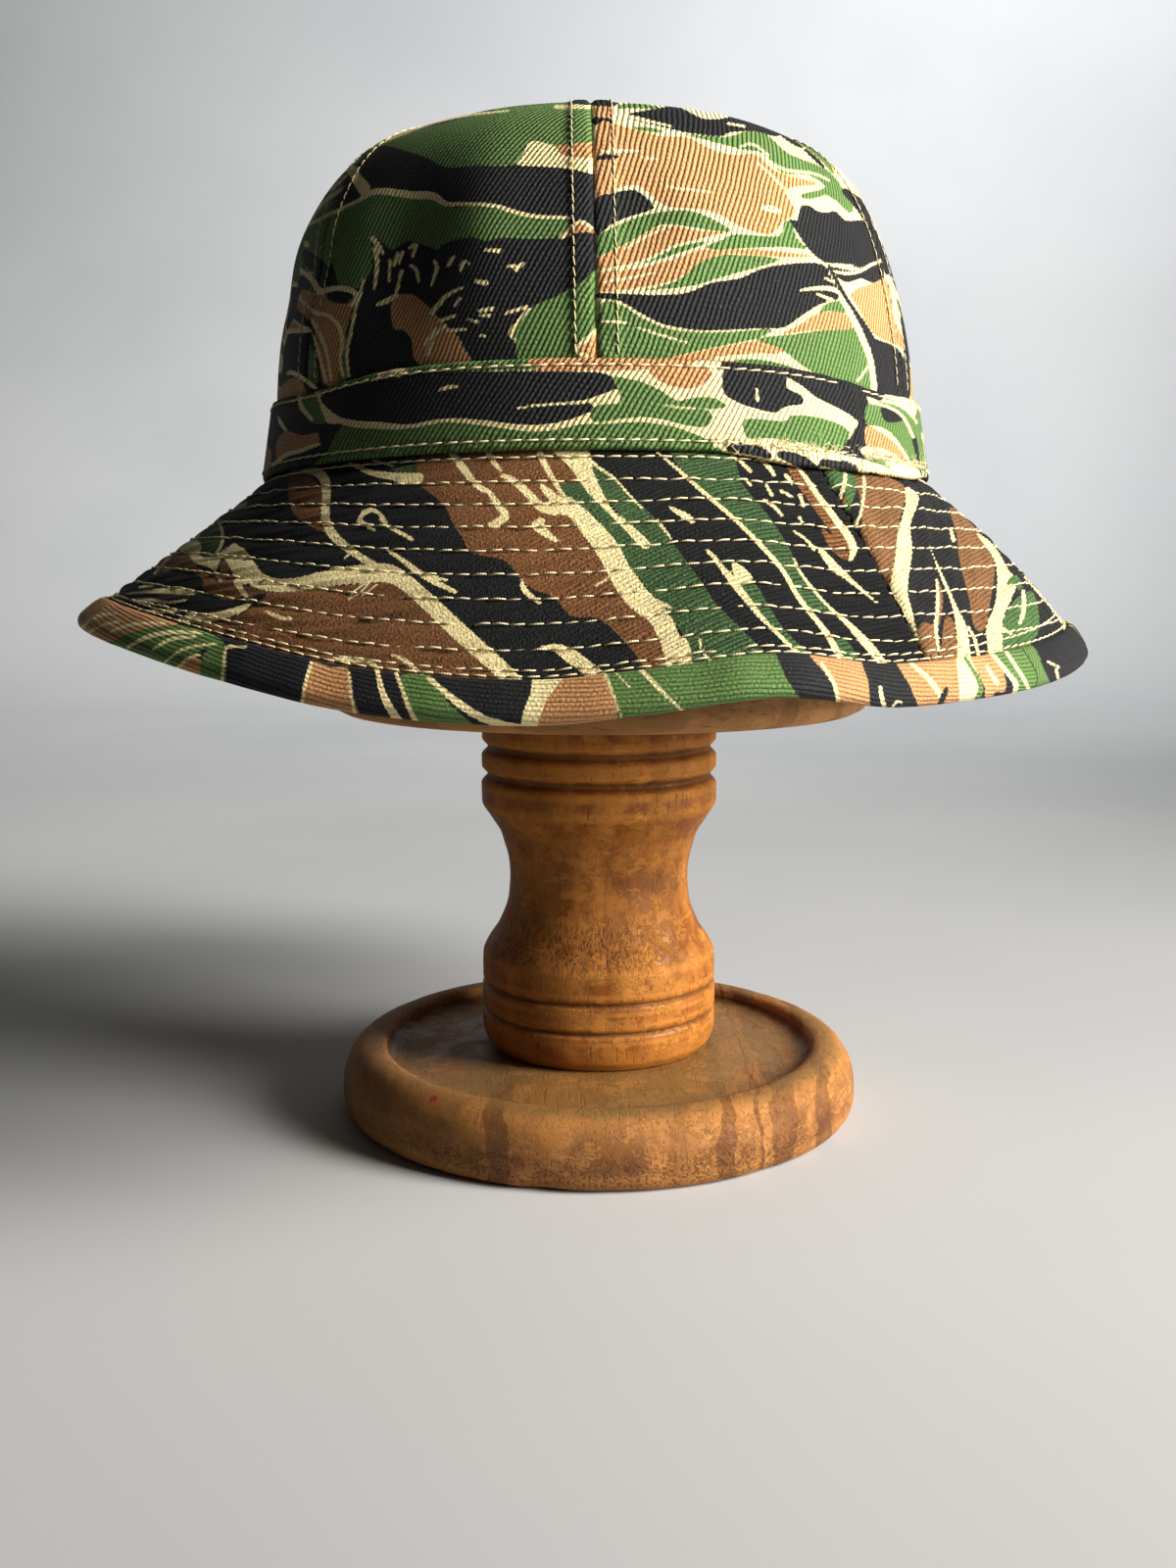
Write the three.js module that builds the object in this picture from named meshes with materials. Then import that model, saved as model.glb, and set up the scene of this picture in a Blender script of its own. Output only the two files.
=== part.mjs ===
// A camouflage cotton bucket hat resting on a turned wooden stand.
// Millimetres, +Z up. The origin is the middle of the stand's foot and the hat's front faces -Y.
// An azimuth of 0 is the front, and azimuths grow towards +X. Hat heights count up from the neck,
// the line where the band meets the brim.
import * as THREE from 'three';
import { ParametricGeometry } from 'three/addons/geometries/ParametricGeometry.js';
import { mergeGeometries } from 'three/addons/utils/BufferGeometryUtils.js';

const GAP = 0.3; // clearance between neighbouring pieces
const DEGREE = Math.PI / 180;

// Stand: a dished foot, a turned column, and a disc with a plain post under the crown
const BASE = {
  footRadius: 74, radius: 79, bulgeHeight: 6, rimRadius: 69, rimHeight: 20.4,
  lipRadius: 65.6, lipHeight: 18.6, dishRadius: 60, dishHeight: 16.2, floorRadius: 36, floorHeight: 18.4,
};
const COLUMN_TURNINGS = [
  { name: 'foot edge', height: 0, radius: 32.6 },
  { name: 'foot round', height: 3, radius: 35 },
  { name: 'foot ring', height: 7, radius: 35.9 },
  { name: 'foot ring top', height: 10.4, radius: 35.9 },
  { name: 'first groove', height: 11.6, radius: 34.9 },
  { name: 'lower bead', height: 13, radius: 35.9 },
  { name: 'lower bead top', height: 19, radius: 35.9 },
  { name: 'second groove', height: 20.2, radius: 34.8 },
  { name: 'lower collar', height: 21.6, radius: 35.8 },
  { name: 'lower collar top', height: 28.6, radius: 35.6 },
  { name: 'lower shoulder', height: 32, radius: 34.2 },
  { name: 'lower hollow', height: 37.8, radius: 30.5 },
  { name: 'waist start', height: 46, radius: 27.7 },
  { name: 'waist', height: 53, radius: 27.2 },
  { name: 'upper hollow', height: 65.4, radius: 29.7 },
  { name: 'upper shoulder', height: 71.4, radius: 33.2 },
  { name: 'upper collar', height: 75.6, radius: 35.6 },
  { name: 'upper collar top', height: 81.2, radius: 35.7 },
  { name: 'third groove', height: 83.8, radius: 33.8 },
  { name: 'upper bead', height: 86.4, radius: 35.6 },
  { name: 'upper bead top', height: 89.6, radius: 35.6 },
  { name: 'fourth groove', height: 92.2, radius: 33.7 },
  { name: 'head ring', height: 94.8, radius: 35.5 },
  { name: 'head ring top', height: 103.5, radius: 35.5 },
];
const BLOCK = {
  underside: 122.5, radius: 80, edgeRadius: 76.5, edgeHeight: 5, thickness: 22,
  shoulderRadius: 28, postRadius: 23, postFoot: 6, postEnd: 14,
};

// Hat: where it sits on the stand, how it tips back, and how far the soft crown leans
const NECK_HEIGHT = 187.2;
const HAT_SHIFT = -1.2;
const HAT_TILT = 3 * DEGREE; // front up, back down
const LEAN_PER_HEIGHT = -0.02; // sideways, above the band's top

// Crown: six gores, straight sided at the band and rounded over to a nearly flat top
const CROWN = {
  radius: 92.2, start: 22, tuck: 6, tuckFlare: 0.1, rise: 71.2, roundness: 6.9, easing: 0.675,
  capRise: 5, tipRadius: 0.9, wall: 1.2,
};
const CROWN_SAMPLES = { count: 60, crowding: 2.2 }; // crowded towards the steep side
const GORES = [
  { name: 'crown_panel_front_right', start: 0 },
  { name: 'crown_panel_right', start: 60 },
  { name: 'crown_panel_back_right', start: 120 },
  { name: 'crown_panel_back_left', start: 180 },
  { name: 'crown_panel_left', start: 240 },
  { name: 'crown_panel_front_left', start: 300 },
];
const GORE_ANGLE = 60;

// Soft dents (negative depth) and ridges of the crown: centre, depth and spread each way
const FOLDS = [
  { name: 'front left dent', azimuth: -42, height: 46, depth: -3.2, around: 13, along: 20 },
  { name: 'front left ridge', azimuth: -25, height: 66, depth: 1.0, around: 7, along: 16 },
  { name: 'left crease', azimuth: -66, height: 52, depth: -2.2, around: 15, along: 8 },
  { name: 'left bulge', azimuth: -78, height: 60, depth: 0.9, around: 22, along: 14 },
  { name: 'front right dent', azimuth: 12, height: 55, depth: -1.6, around: 9, along: 14 },
  { name: 'front right ridge', azimuth: 34, height: 70, depth: 1.6, around: 11, along: 13 },
  { name: 'right dent', azimuth: 108, height: 56, depth: -1.8, around: 13, along: 20 },
  { name: 'back right dent', azimuth: 140, height: 48, depth: -2.4, around: 16, along: 18 },
  { name: 'back left dent', azimuth: -138, height: 54, depth: -2.0, around: 18, along: 16 },
];

// Band: a strip wrapped over the crown's foot, its ends meeting at a seam
const BAND = { bottom: 0.2, top: 22.2, bottomRadius: 96.9, topRadius: 93.7, wall: 1.2, seam: 45 };

// Brim: widths and drop angles round the hat, from the neck to the outer edge
const BRIM = {
  neckRadius: 94.5, neckDrop: 1.2, wall: 2.4, collar: 8, collarBend: 4, collarAngle: 83, seam: 35,
  outwardShare: 0.6, // of a step down the slope, about how much goes outward
};
const BRIM_SECTIONS = [
  { azimuth: -180, width: 67, innerDrop: 37, outerDrop: 42 },
  { azimuth: -130, width: 66, innerDrop: 37, outerDrop: 41 },
  { azimuth: -90, width: 64.5, innerDrop: 37, outerDrop: 35.5 },
  { azimuth: -70, width: 65, innerDrop: 38, outerDrop: 36.5 },
  { azimuth: -53, width: 67.5, innerDrop: 41, outerDrop: 40.5 },
  { azimuth: -38, width: 70, innerDrop: 46.5, outerDrop: 47.5 },
  { azimuth: -23, width: 72.5, innerDrop: 52.5, outerDrop: 54.5 },
  { azimuth: -6, width: 74, innerDrop: 53.5, outerDrop: 56.5 },
  { azimuth: 4, width: 74, innerDrop: 50.5, outerDrop: 53 },
  { azimuth: 16, width: 73.5, innerDrop: 46.5, outerDrop: 49 },
  { azimuth: 29, width: 72, innerDrop: 50.5, outerDrop: 55 },
  { azimuth: 40, width: 71, innerDrop: 47.5, outerDrop: 57 },
  { azimuth: 52, width: 69.5, innerDrop: 44.5, outerDrop: 57 },
  { azimuth: 75, width: 66, innerDrop: 38, outerDrop: 55.5 },
  { azimuth: 105, width: 65, innerDrop: 35, outerDrop: 50 },
  { azimuth: 140, width: 66, innerDrop: 36, outerDrop: 44 },
  { azimuth: 180, width: 67, innerDrop: 37, outerDrop: 42 },
];

// Binding: a strip folded over the brim's edge
const BINDING = { depth: 9.4, wall: 1.0, nose: 0.8, cover: 2.0, round: 1.8, noseShare: 0.7 };

// Facets: a 5 degree step keeps the band, the brim and the binding on the same chords
const STEP = 5;
const GORE_STEPS = { around: 8, along: 12 };
const BRIM_STEPS_ALONG = 7;
const LATHE_SIDES = { base: 44, column: 32, block: 36 };
const CURVE_FACETS = 3; // straight steps in each rounded edge of a turned outline

const twillLook = { name: 'camouflage_twill', color: 0x5a5c40, roughness: 0.95 };
const woodLook = { name: 'turned_wood', color: 0x8a5227, roughness: 0.6 };
const cloth = () => new THREE.MeshStandardMaterial(twillLook);
const wood = () => new THREE.MeshStandardMaterial(woodLook);

const ringSteps = (degrees) => Math.round(degrees / STEP);

// An angle in degrees brought into -180 to 180.
const wrapDegrees = (degrees) => ((degrees + 540) % 360) - 180;

// A point at an azimuth in degrees, a radius and a height.
function polar(azimuth, radius, height, target) {
  const angle = azimuth * DEGREE;
  return target.set(radius * Math.sin(angle), -radius * Math.cos(angle), height);
}

// A closed block: the six faces of a unit cube carried by map(u, v, w, target).
// u runs round the hat, v up the cloth and w out through the wall.
function mappedBlock(map, around, along) {
  const faces = [
    new ParametricGeometry((s, t, p) => map(s, t, 1, p), around, along),
    new ParametricGeometry((s, t, p) => map(t, s, 0, p), along, around),
    new ParametricGeometry((s, t, p) => map(1, s, t, p), along, 1),
    new ParametricGeometry((s, t, p) => map(0, t, s, p), 1, along),
    new ParametricGeometry((s, t, p) => map(t, 1, s, p), 1, around),
    new ParametricGeometry((s, t, p) => map(s, 0, t, p), around, 1),
  ];
  return mergeGeometries(faces);
}

// A body turned from a profile of radius and height, standing on Z.
function turned(profile, sides) {
  return new THREE.LatheGeometry(profile, sides).rotateX(Math.PI / 2);
}

function piece(name, geometry, material) {
  const mesh = new THREE.Mesh(geometry, material);
  mesh.name = name;
  return mesh;
}

// Foot of the stand: a round nosed rim about a shallow dish.
function baseProfile() {
  const outline = new THREE.Path();
  outline.moveTo(0, 0);
  outline.lineTo(BASE.footRadius, 0);
  outline.quadraticCurveTo(BASE.radius, 0, BASE.radius, BASE.bulgeHeight);
  outline.quadraticCurveTo(BASE.radius, BASE.rimHeight, BASE.rimRadius, BASE.rimHeight);
  outline.quadraticCurveTo(BASE.lipRadius, BASE.rimHeight, BASE.lipRadius, BASE.lipHeight);
  outline.quadraticCurveTo(BASE.lipRadius, BASE.dishHeight, BASE.dishRadius, BASE.dishHeight);
  outline.lineTo(BASE.floorRadius, BASE.floorHeight);
  outline.lineTo(0, BASE.floorHeight);
  return outline.getPoints(CURVE_FACETS);
}

// Column: a row for each turned ring, groove and hollow, closed on the axis.
function columnProfile() {
  const rows = COLUMN_TURNINGS.map((row) => new THREE.Vector2(row.radius, row.height));
  const top = rows[rows.length - 1].y;
  return [new THREE.Vector2(0, 0), ...rows, new THREE.Vector2(0, top)];
}

// Disc with a rounded edge, and the post that carries the crown's top.
function blockProfile(postTop) {
  const { radius, edgeRadius, edgeHeight, thickness, shoulderRadius, postRadius, postFoot, postEnd } = BLOCK;
  const outline = new THREE.Path();
  outline.moveTo(0, 0);
  outline.lineTo(edgeRadius, 0);
  outline.quadraticCurveTo(radius, 0, radius, edgeHeight);
  outline.lineTo(radius, thickness - edgeHeight);
  outline.quadraticCurveTo(radius, thickness, edgeRadius, thickness);
  outline.lineTo(shoulderRadius, thickness);
  outline.quadraticCurveTo(postRadius, thickness, postRadius, thickness + postFoot);
  outline.lineTo(postRadius, postTop - postEnd);
  outline.quadraticCurveTo(postRadius, postTop, 0, postTop);
  return outline.getPoints(CURVE_FACETS);
}

// Height of the crown's outer face at a radius: a superellipse shoulder under a gently domed cap.
function crownHeight(radius) {
  const share = Math.min(1, radius / CROWN.radius);
  const shoulder = Math.pow(1 - Math.pow(share, CROWN.roundness), CROWN.easing);
  return CROWN.start + CROWN.rise * shoulder + CROWN.capRise * (1 - share) ** 2;
}

// The crown's outline from inside the band up to the apex, walked by even arc length.
function crownProfile() {
  const points = [];
  const foot = CROWN.start - CROWN.tuck;
  points.push(new THREE.Vector2(CROWN.radius + CROWN.tuckFlare * CROWN.tuck, foot));
  for (let i = 0; i <= CROWN_SAMPLES.count; i += 1) {
    const inward = Math.pow(i / CROWN_SAMPLES.count, CROWN_SAMPLES.crowding);
    const radius = CROWN.radius + (CROWN.tipRadius - CROWN.radius) * inward;
    points.push(new THREE.Vector2(radius, crownHeight(radius)));
  }
  return new THREE.SplineCurve(points);
}

// How far the folds push the crown out at an azimuth and a height.
function foldDepth(azimuth, height) {
  let depth = 0;
  for (const fold of FOLDS) {
    const turn = wrapDegrees(azimuth - fold.azimuth);
    const across = (turn / fold.around) ** 2 + ((height - fold.height) / fold.along) ** 2;
    depth += fold.depth * Math.exp(-across);
  }
  return depth;
}

// One gore: the crown's outline swept over a sixth of a turn, parted from its neighbours by the gap.
function crownGore(start, profile) {
  const map = (u, v, w, target) => {
    const outline = profile.getPointAt(v);
    const tangent = profile.getTangentAt(v);
    const parting = Math.asin(GAP / 2 / outline.x) / DEGREE;
    const azimuth = start + parting + u * (GORE_ANGLE - 2 * parting);
    const offset = foldDepth(azimuth, outline.y) - (1 - w) * CROWN.wall;
    const radius = outline.x + tangent.y * offset;
    polar(azimuth, Math.max(radius, CROWN.tipRadius), outline.y - tangent.x * offset, target);
    target.x += LEAN_PER_HEIGHT * Math.max(0, outline.y - CROWN.start);
  };
  return mappedBlock(map, GORE_STEPS.around, GORE_STEPS.along);
}

// The band: a tapered strip round the hat, open by the gap at its seam.
function bandStrip() {
  const parting = GAP / 2 / BAND.bottomRadius / DEGREE;
  const map = (u, v, w, target) => {
    const azimuth = BAND.seam + parting + u * (360 - 2 * parting);
    const height = THREE.MathUtils.lerp(BAND.bottom, BAND.top, v);
    const radius = THREE.MathUtils.lerp(BAND.bottomRadius, BAND.topRadius, v) - (1 - w) * BAND.wall;
    polar(azimuth, radius, height, target);
  };
  return mappedBlock(map, ringSteps(360), 1);
}

// Brim columns (width, inner drop, outer drop) as smooth periodic functions of the azimuth.
function brimInterpolant() {
  const azimuths = BRIM_SECTIONS.map((row) => row.azimuth);
  const values = BRIM_SECTIONS.flatMap((row) => [row.width, row.innerDrop, row.outerDrop]);
  const curve = new THREE.CubicInterpolant(azimuths, values, 3, new Float64Array(3));
  curve.settings = { endingStart: THREE.WrapAroundEnding, endingEnd: THREE.WrapAroundEnding };
  return curve;
}
const brimCurve = brimInterpolant();

function brimSection(azimuth) {
  const [width, innerDrop, outerDrop] = brimCurve.evaluate(wrapDegrees(azimuth));
  return { width, innerDrop: innerDrop * DEGREE, outerDrop: outerDrop * DEGREE };
}

// Travel along an arc that starts at a drop angle and turns by a rate per millimetre.
function arcTravel(drop, rate, length) {
  const half = (rate * length) / 2;
  const chord = Math.abs(half) < 1e-9 ? length : (length * Math.sin(half)) / half;
  return { out: chord * Math.cos(drop + half), down: chord * Math.sin(drop + half), drop: drop + 2 * half };
}

// A point of the brim at a distance down the slope from the neck, lifted off its middle by an offset.
// Down the slope the drop angle goes evenly from the inner to the outer value. Above the neck a collar
// bends up behind the band.
function brimPoint(azimuth, distance, offset, target) {
  const { width, innerDrop, outerDrop } = brimSection(azimuth);
  const collar = BRIM.collarAngle * DEGREE;
  const slope = Math.max(distance, 0);
  const bend = Math.max(Math.min(distance, 0), -BRIM.collarBend);
  const upright = Math.min(distance + BRIM.collarBend, 0);
  const down = arcTravel(innerDrop, (outerDrop - innerDrop) / width, slope);
  const back = arcTravel(innerDrop, (innerDrop - collar) / BRIM.collarBend, bend);
  const drop = distance > 0 ? down.drop : back.drop;
  const radius = BRIM.neckRadius + down.out + back.out + upright * Math.cos(collar);
  const height = -BRIM.neckDrop - down.down - back.down - upright * Math.sin(collar);
  polar(azimuth, radius + offset * Math.sin(drop), height + offset * Math.cos(drop), target);
}

// Half of the brim between its two seams, from inside the binding up to the collar's top.
function brimHalf(start) {
  const map = (u, v, w, target) => {
    const edge = brimSection(start + 180 * u).width - BINDING.cover;
    const distance = v < 1 ? edge * (1 - v / (1 - 1 / BRIM_STEPS_ALONG)) : -BRIM.collar;
    const radius = BRIM.neckRadius + Math.max(distance, 0) * BRIM.outwardShare;
    const parting = GAP / 2 / radius / DEGREE;
    const azimuth = start + parting + u * (180 - 2 * parting);
    brimPoint(azimuth, distance, (w - 0.5) * BRIM.wall, target);
  };
  return mappedBlock(map, ringSteps(180), BRIM_STEPS_ALONG);
}

// Section of the binding as distances in from the edge and offsets from the brim's middle: over the
// nose, up the top face, into the slot that holds the brim, and back along the lower face.
function bindingSection() {
  const { depth, nose, round, noseShare } = BINDING;
  const inside = BRIM.wall / 2 + GAP;
  const outside = inside + BINDING.wall;
  const slot = BINDING.cover - GAP;
  return [
    [-nose, 0], [0, outside * noseShare], [round, outside], [depth, outside],
    [depth, inside], [slot, inside], [slot, -inside], [depth, -inside],
    [depth, -outside], [round, -outside], [0, -outside * noseShare],
  ];
}

// The binding: its section carried round the brim's edge as one closed ring.
function bindingRing() {
  const section = bindingSection();
  const map = (u, v, target) => {
    const azimuth = BRIM.seam + 360 * u;
    const [inward, offset] = section[Math.round(v * section.length) % section.length];
    brimPoint(azimuth, brimSection(azimuth).width - inward, offset, target);
  };
  return new ParametricGeometry(map, ringSteps(360), section.length);
}

function buildStand() {
  const stand = new THREE.Group();
  const base = piece('stand_base', turned(baseProfile(), LATHE_SIDES.base), wood());
  const column = piece('stand_column', turned(columnProfile(), LATHE_SIDES.column), wood());
  column.position.z = BASE.floorHeight + GAP;
  const apex = NECK_HEIGHT + crownHeight(0) - CROWN.wall;
  const postTop = apex - 2 * GAP - BLOCK.underside;
  const block = piece('stand_block', turned(blockProfile(postTop), LATHE_SIDES.block), wood());
  block.position.z = BLOCK.underside;
  stand.add(base, column, block);
  return stand;
}

function buildHat() {
  const hat = new THREE.Group();
  hat.position.set(HAT_SHIFT, 0, NECK_HEIGHT);
  hat.rotation.x = -HAT_TILT;
  const profile = crownProfile();
  for (const gore of GORES) {
    hat.add(piece(gore.name, crownGore(gore.start, profile), cloth()));
  }
  hat.add(piece('hat_band', bandStrip(), cloth()));
  hat.add(piece('brim_back', brimHalf(BRIM.seam), cloth()));
  hat.add(piece('brim_front', brimHalf(BRIM.seam + 180), cloth()));
  hat.add(piece('brim_binding', bindingRing(), cloth()));
  return hat;
}

const part = new THREE.Group();
part.name = 'camouflage_bucket_hat';
part.add(buildStand(), buildHat());

export default part;
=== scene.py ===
"""Looks of a tiger stripe bucket hat on its turned wooden stand.

Cloth and wood repeat the named sizes of the solids, in millimetres, on finer grids worked out with numpy,
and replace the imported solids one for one. Azimuths are degrees from the hat's front, growing towards +X.
Hat heights count up from the neck, where the band meets the brim. Cloth lengths run along the cloth itself.
"""

import logging
import math
from dataclasses import dataclass
from enum import Enum, IntEnum

import bpy
import numpy as np
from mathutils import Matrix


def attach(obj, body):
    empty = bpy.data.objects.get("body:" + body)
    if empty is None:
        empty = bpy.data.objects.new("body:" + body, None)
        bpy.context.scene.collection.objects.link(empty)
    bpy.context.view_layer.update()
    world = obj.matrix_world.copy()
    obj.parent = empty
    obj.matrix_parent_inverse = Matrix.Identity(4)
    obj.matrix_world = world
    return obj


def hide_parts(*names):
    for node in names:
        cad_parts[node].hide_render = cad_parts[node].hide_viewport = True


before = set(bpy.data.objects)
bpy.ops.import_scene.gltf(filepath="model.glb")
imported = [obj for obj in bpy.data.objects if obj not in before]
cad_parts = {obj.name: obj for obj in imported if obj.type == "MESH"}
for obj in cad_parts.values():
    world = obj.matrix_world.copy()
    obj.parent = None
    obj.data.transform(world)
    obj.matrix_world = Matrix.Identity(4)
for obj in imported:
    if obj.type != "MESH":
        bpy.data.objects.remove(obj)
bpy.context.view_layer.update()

LOG = logging.getLogger("bucket_hat")
METRES = 0.001
TINY = 1e-9
ROUNDING = 3  # points to a span of a rounded outline
INK_REACH = 24.0  # picture units past which an edge of ink is not measured
PICTURE_PER_MM = 4.1
SEEN_AZIMUTH = 82.0  # degrees from the front within which cloth has its fine grid
SEEN_FADE = 8.0  # degrees over which the grid grows coarse
STEP_SAMPLES = 2000

Array = np.ndarray
Colour = tuple[float, float, float]
Place = tuple[float, float, float]
Piece = bpy.types.Object
Socket = bpy.types.NodeSocket
Groups = dict[str, bpy.types.NodeTree]
Runs = list[tuple[Array, Array]]  # lines of stitching, each with its directions off the cloth


class Ink(IntEnum):
    """The four inks of the print, in the order of the print attribute's channels."""

    GREEN = 0
    BROWN = 1
    BLACK = 2
    CREAM = 3


class Body(Enum):
    """What pieces ride on, and the record's two finishes."""

    ROOT = "root"
    CLOTH = "camouflage_twill"
    WOOD = "turned_wood"


def smooth_share(low: float, high: float, value: Array) -> Array:
    """Share of the way from low to high, eased at both ends.

    Args:
        low: Value that gives 0.
        high: Value that gives 1.
        value: Values to place between them.

    Returns:
        Shares from 0 to 1.
    """
    share = np.clip((value - low) / (high - low), 0.0, 1.0)
    return share * share * (3.0 - 2.0 * share)


def bell(value: Array, width: float) -> Array:
    """A bell curve of the given half width round zero, 1 at its top."""
    return np.exp(-((value / width) ** 2))


def polar(azimuth: Array, radius: Array, height: Array) -> Array:
    """Points at azimuths in degrees, radii and heights, as an array with x, y, z last."""
    angle = np.radians(azimuth)
    return np.stack([radius * np.sin(angle), -radius * np.cos(angle), height], axis=-1)


def unit(vectors: Array) -> Array:
    """The same directions at length 1."""
    return vectors / np.maximum(np.linalg.norm(vectors, axis=-1, keepdims=True), TINY)


def wrapped(azimuth: Array) -> Array:
    """The same azimuths, from -180 up to 180."""
    return (azimuth + 180.0) % 360.0 - 180.0


def walked(points: Array) -> Array:
    """Lengths along a path from its first point to each of its points."""
    return np.concatenate([[0.0], np.cumsum(np.linalg.norm(np.diff(points, axis=0), axis=1))])


def path_places(at: Array, lengths: Array, points: Array) -> Array:
    """Places at lengths along a path, given its points and the lengths to them."""
    return np.stack([np.interp(at, lengths, column) for column in points.T], axis=-1)


def curve_through(at: Array, rows: Array, values: Array, slopes: Array) -> Array:
    """A smooth curve through rows of values with given slopes.

    Between two rows the value is the cubic that meets both rows' values and slopes.

    Args:
        at: Places to read the curve.
        rows: Rising places of the rows.
        values: Rows by columns of values.
        slopes: Rows by columns of slopes.

    Returns:
        Values at the places, with columns last.
    """
    index = np.clip(np.searchsorted(rows, at, side="right") - 1, 0, len(rows) - 2)
    span = (rows[index + 1] - rows[index])[..., None]
    share = (at[..., None] - rows[index][..., None]) / span
    rest = 1.0 - share
    ends = rest**2 * (1.0 + 2.0 * share) * values[index] + share**2 * (3.0 - 2.0 * share) * values[index + 1]
    tilts = rest**2 * share * slopes[index] - share**2 * rest * slopes[index + 1]
    return ends + span * tilts


@dataclass(frozen=True)
class Ripples:
    """Smooth wandering: a sum of sine waves with seeded directions, lengths and phases.

    Rates tell how fast the waves pass along each cloth coordinate, against the wavelength.
    """

    wavelength: float
    seed: int
    rates: tuple[float, float] = (1.0, 1.0)
    waves: int = 7
    shortest: float = 0.65
    longest: float = 1.5

    def at(self, across: Array, along: Array) -> Array:
        """Height of the waves.

        Args:
            across: First cloth coordinate.
            along: Second cloth coordinate.

        Returns:
            Heights with a spread of about 1.
        """
        draw = np.random.default_rng(self.seed)
        across, along = across * self.rates[0], along * self.rates[1]
        total = np.zeros(np.broadcast(across, along).shape)
        for _ in range(self.waves):
            turn = draw.uniform(0.0, 2.0 * math.pi)
            beat = 2.0 * math.pi / (self.wavelength * draw.uniform(self.shortest, self.longest))
            phase = draw.uniform(0.0, 2.0 * math.pi)
            total += np.sin(beat * (across * math.cos(turn) + along * math.sin(turn)) + phase)
        return total / math.sqrt(self.waves / 2.0)


@dataclass(frozen=True)
class PhotoView:
    """The view that the hat is seen from: picture units for the frame, millimetres for the eye's place.

    A level sight line meets the picture at the horizon row, and the stand's axis at the axis column.
    """

    width: float = 1200.0
    height: float = 1600.0
    focal: float = 1600.0
    horizon: float = 566.0
    axis: float = 611.2
    distance: float = 473.4
    eye: float = 168.0
    sensor: float = 36.0

    @property
    def pitch(self) -> float:
        """How far the view looks down, in radians."""
        return math.atan((self.height / 2 - self.horizon) / self.focal)

    @property
    def position(self) -> Array:
        """The eye's place in millimetres."""
        aside = (self.width / 2 - self.axis) / self.focal * self.distance
        return np.array([aside, -self.distance, self.eye])

    def chart(self, points: Array) -> tuple[Array, Array]:
        """Where points fall in the picture.

        Args:
            points: World points in millimetres, x, y, z last.

        Returns:
            Picture columns and rows.
        """
        sight = points - self.position
        ahead = sight[..., 1] * math.cos(self.pitch) - sight[..., 2] * math.sin(self.pitch)
        above = sight[..., 1] * math.sin(self.pitch) + sight[..., 2] * math.cos(self.pitch)
        column = self.width / 2 + self.focal * sight[..., 0] / ahead
        row = self.height / 2 - self.focal * above / ahead
        return column, row

    def add_camera(self) -> None:
        """Puts the scene's camera at the eye."""
        lens = bpy.data.cameras.new("photo_view")
        lens.sensor_width = self.sensor
        lens.lens = self.sensor * self.focal / self.height
        lens.clip_start = 0.01
        camera = bpy.data.objects.new("photo_view", lens)
        camera.location = self.position * METRES
        camera.rotation_euler = (math.pi / 2 - self.pitch, 0.0, 0.0)
        bpy.context.scene.collection.objects.link(camera)
        bpy.context.scene.camera = camera


VIEW = PhotoView()


@dataclass(frozen=True)
class HatPose:
    """Where the hat sits on the stand: its neck's height, a sideways shift, and the degrees it tips back."""

    neck_height: float = 187.2
    shift: float = -1.2
    tip: float = 3.0

    def place(self, points: Array) -> Array:
        """Turns hat points about X by the tip, front up, then shifts and lifts them onto the stand.

        Args:
            points: Hat points in millimetres, x, y, z last.

        Returns:
            World points of the same shape.
        """
        turn = math.radians(self.tip)
        back = points[..., 1] * math.cos(turn) + points[..., 2] * math.sin(turn)
        up = points[..., 2] * math.cos(turn) - points[..., 1] * math.sin(turn)
        return np.stack([points[..., 0] + self.shift, back, up + self.neck_height], axis=-1)


POSE = HatPose()


def rounded(points: Array, closed: bool) -> Array:
    """A smooth curve through points.

    Between two points it is the cubic that leaves each of them along the line of its neighbours.

    Args:
        points: Points in order.
        closed: Whether the last point joins the first.

    Returns:
        The curve's points, ROUNDING to a span.
    """
    if closed:
        before, after, beyond = (np.roll(points, shift, axis=0) for shift in (1, -1, -2))
        here = points
    else:
        padded = np.vstack([points[:1], points, points[-1:]])
        before, here, after, beyond = padded[:-3], padded[1:-2], padded[2:-1], padded[3:]
    share = (np.arange(ROUNDING) / ROUNDING)[:, None, None]
    bend = (2 * before - 5 * here + 4 * after - beyond) * share**2
    swing = (3 * here - before - 3 * after + beyond) * share**3
    curve = here + 0.5 * ((after - before) * share + bend + swing)
    spans = curve.transpose(1, 0, 2).reshape(-1, points.shape[1])
    return spans if closed else np.vstack([spans, points[-1:]])


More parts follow.
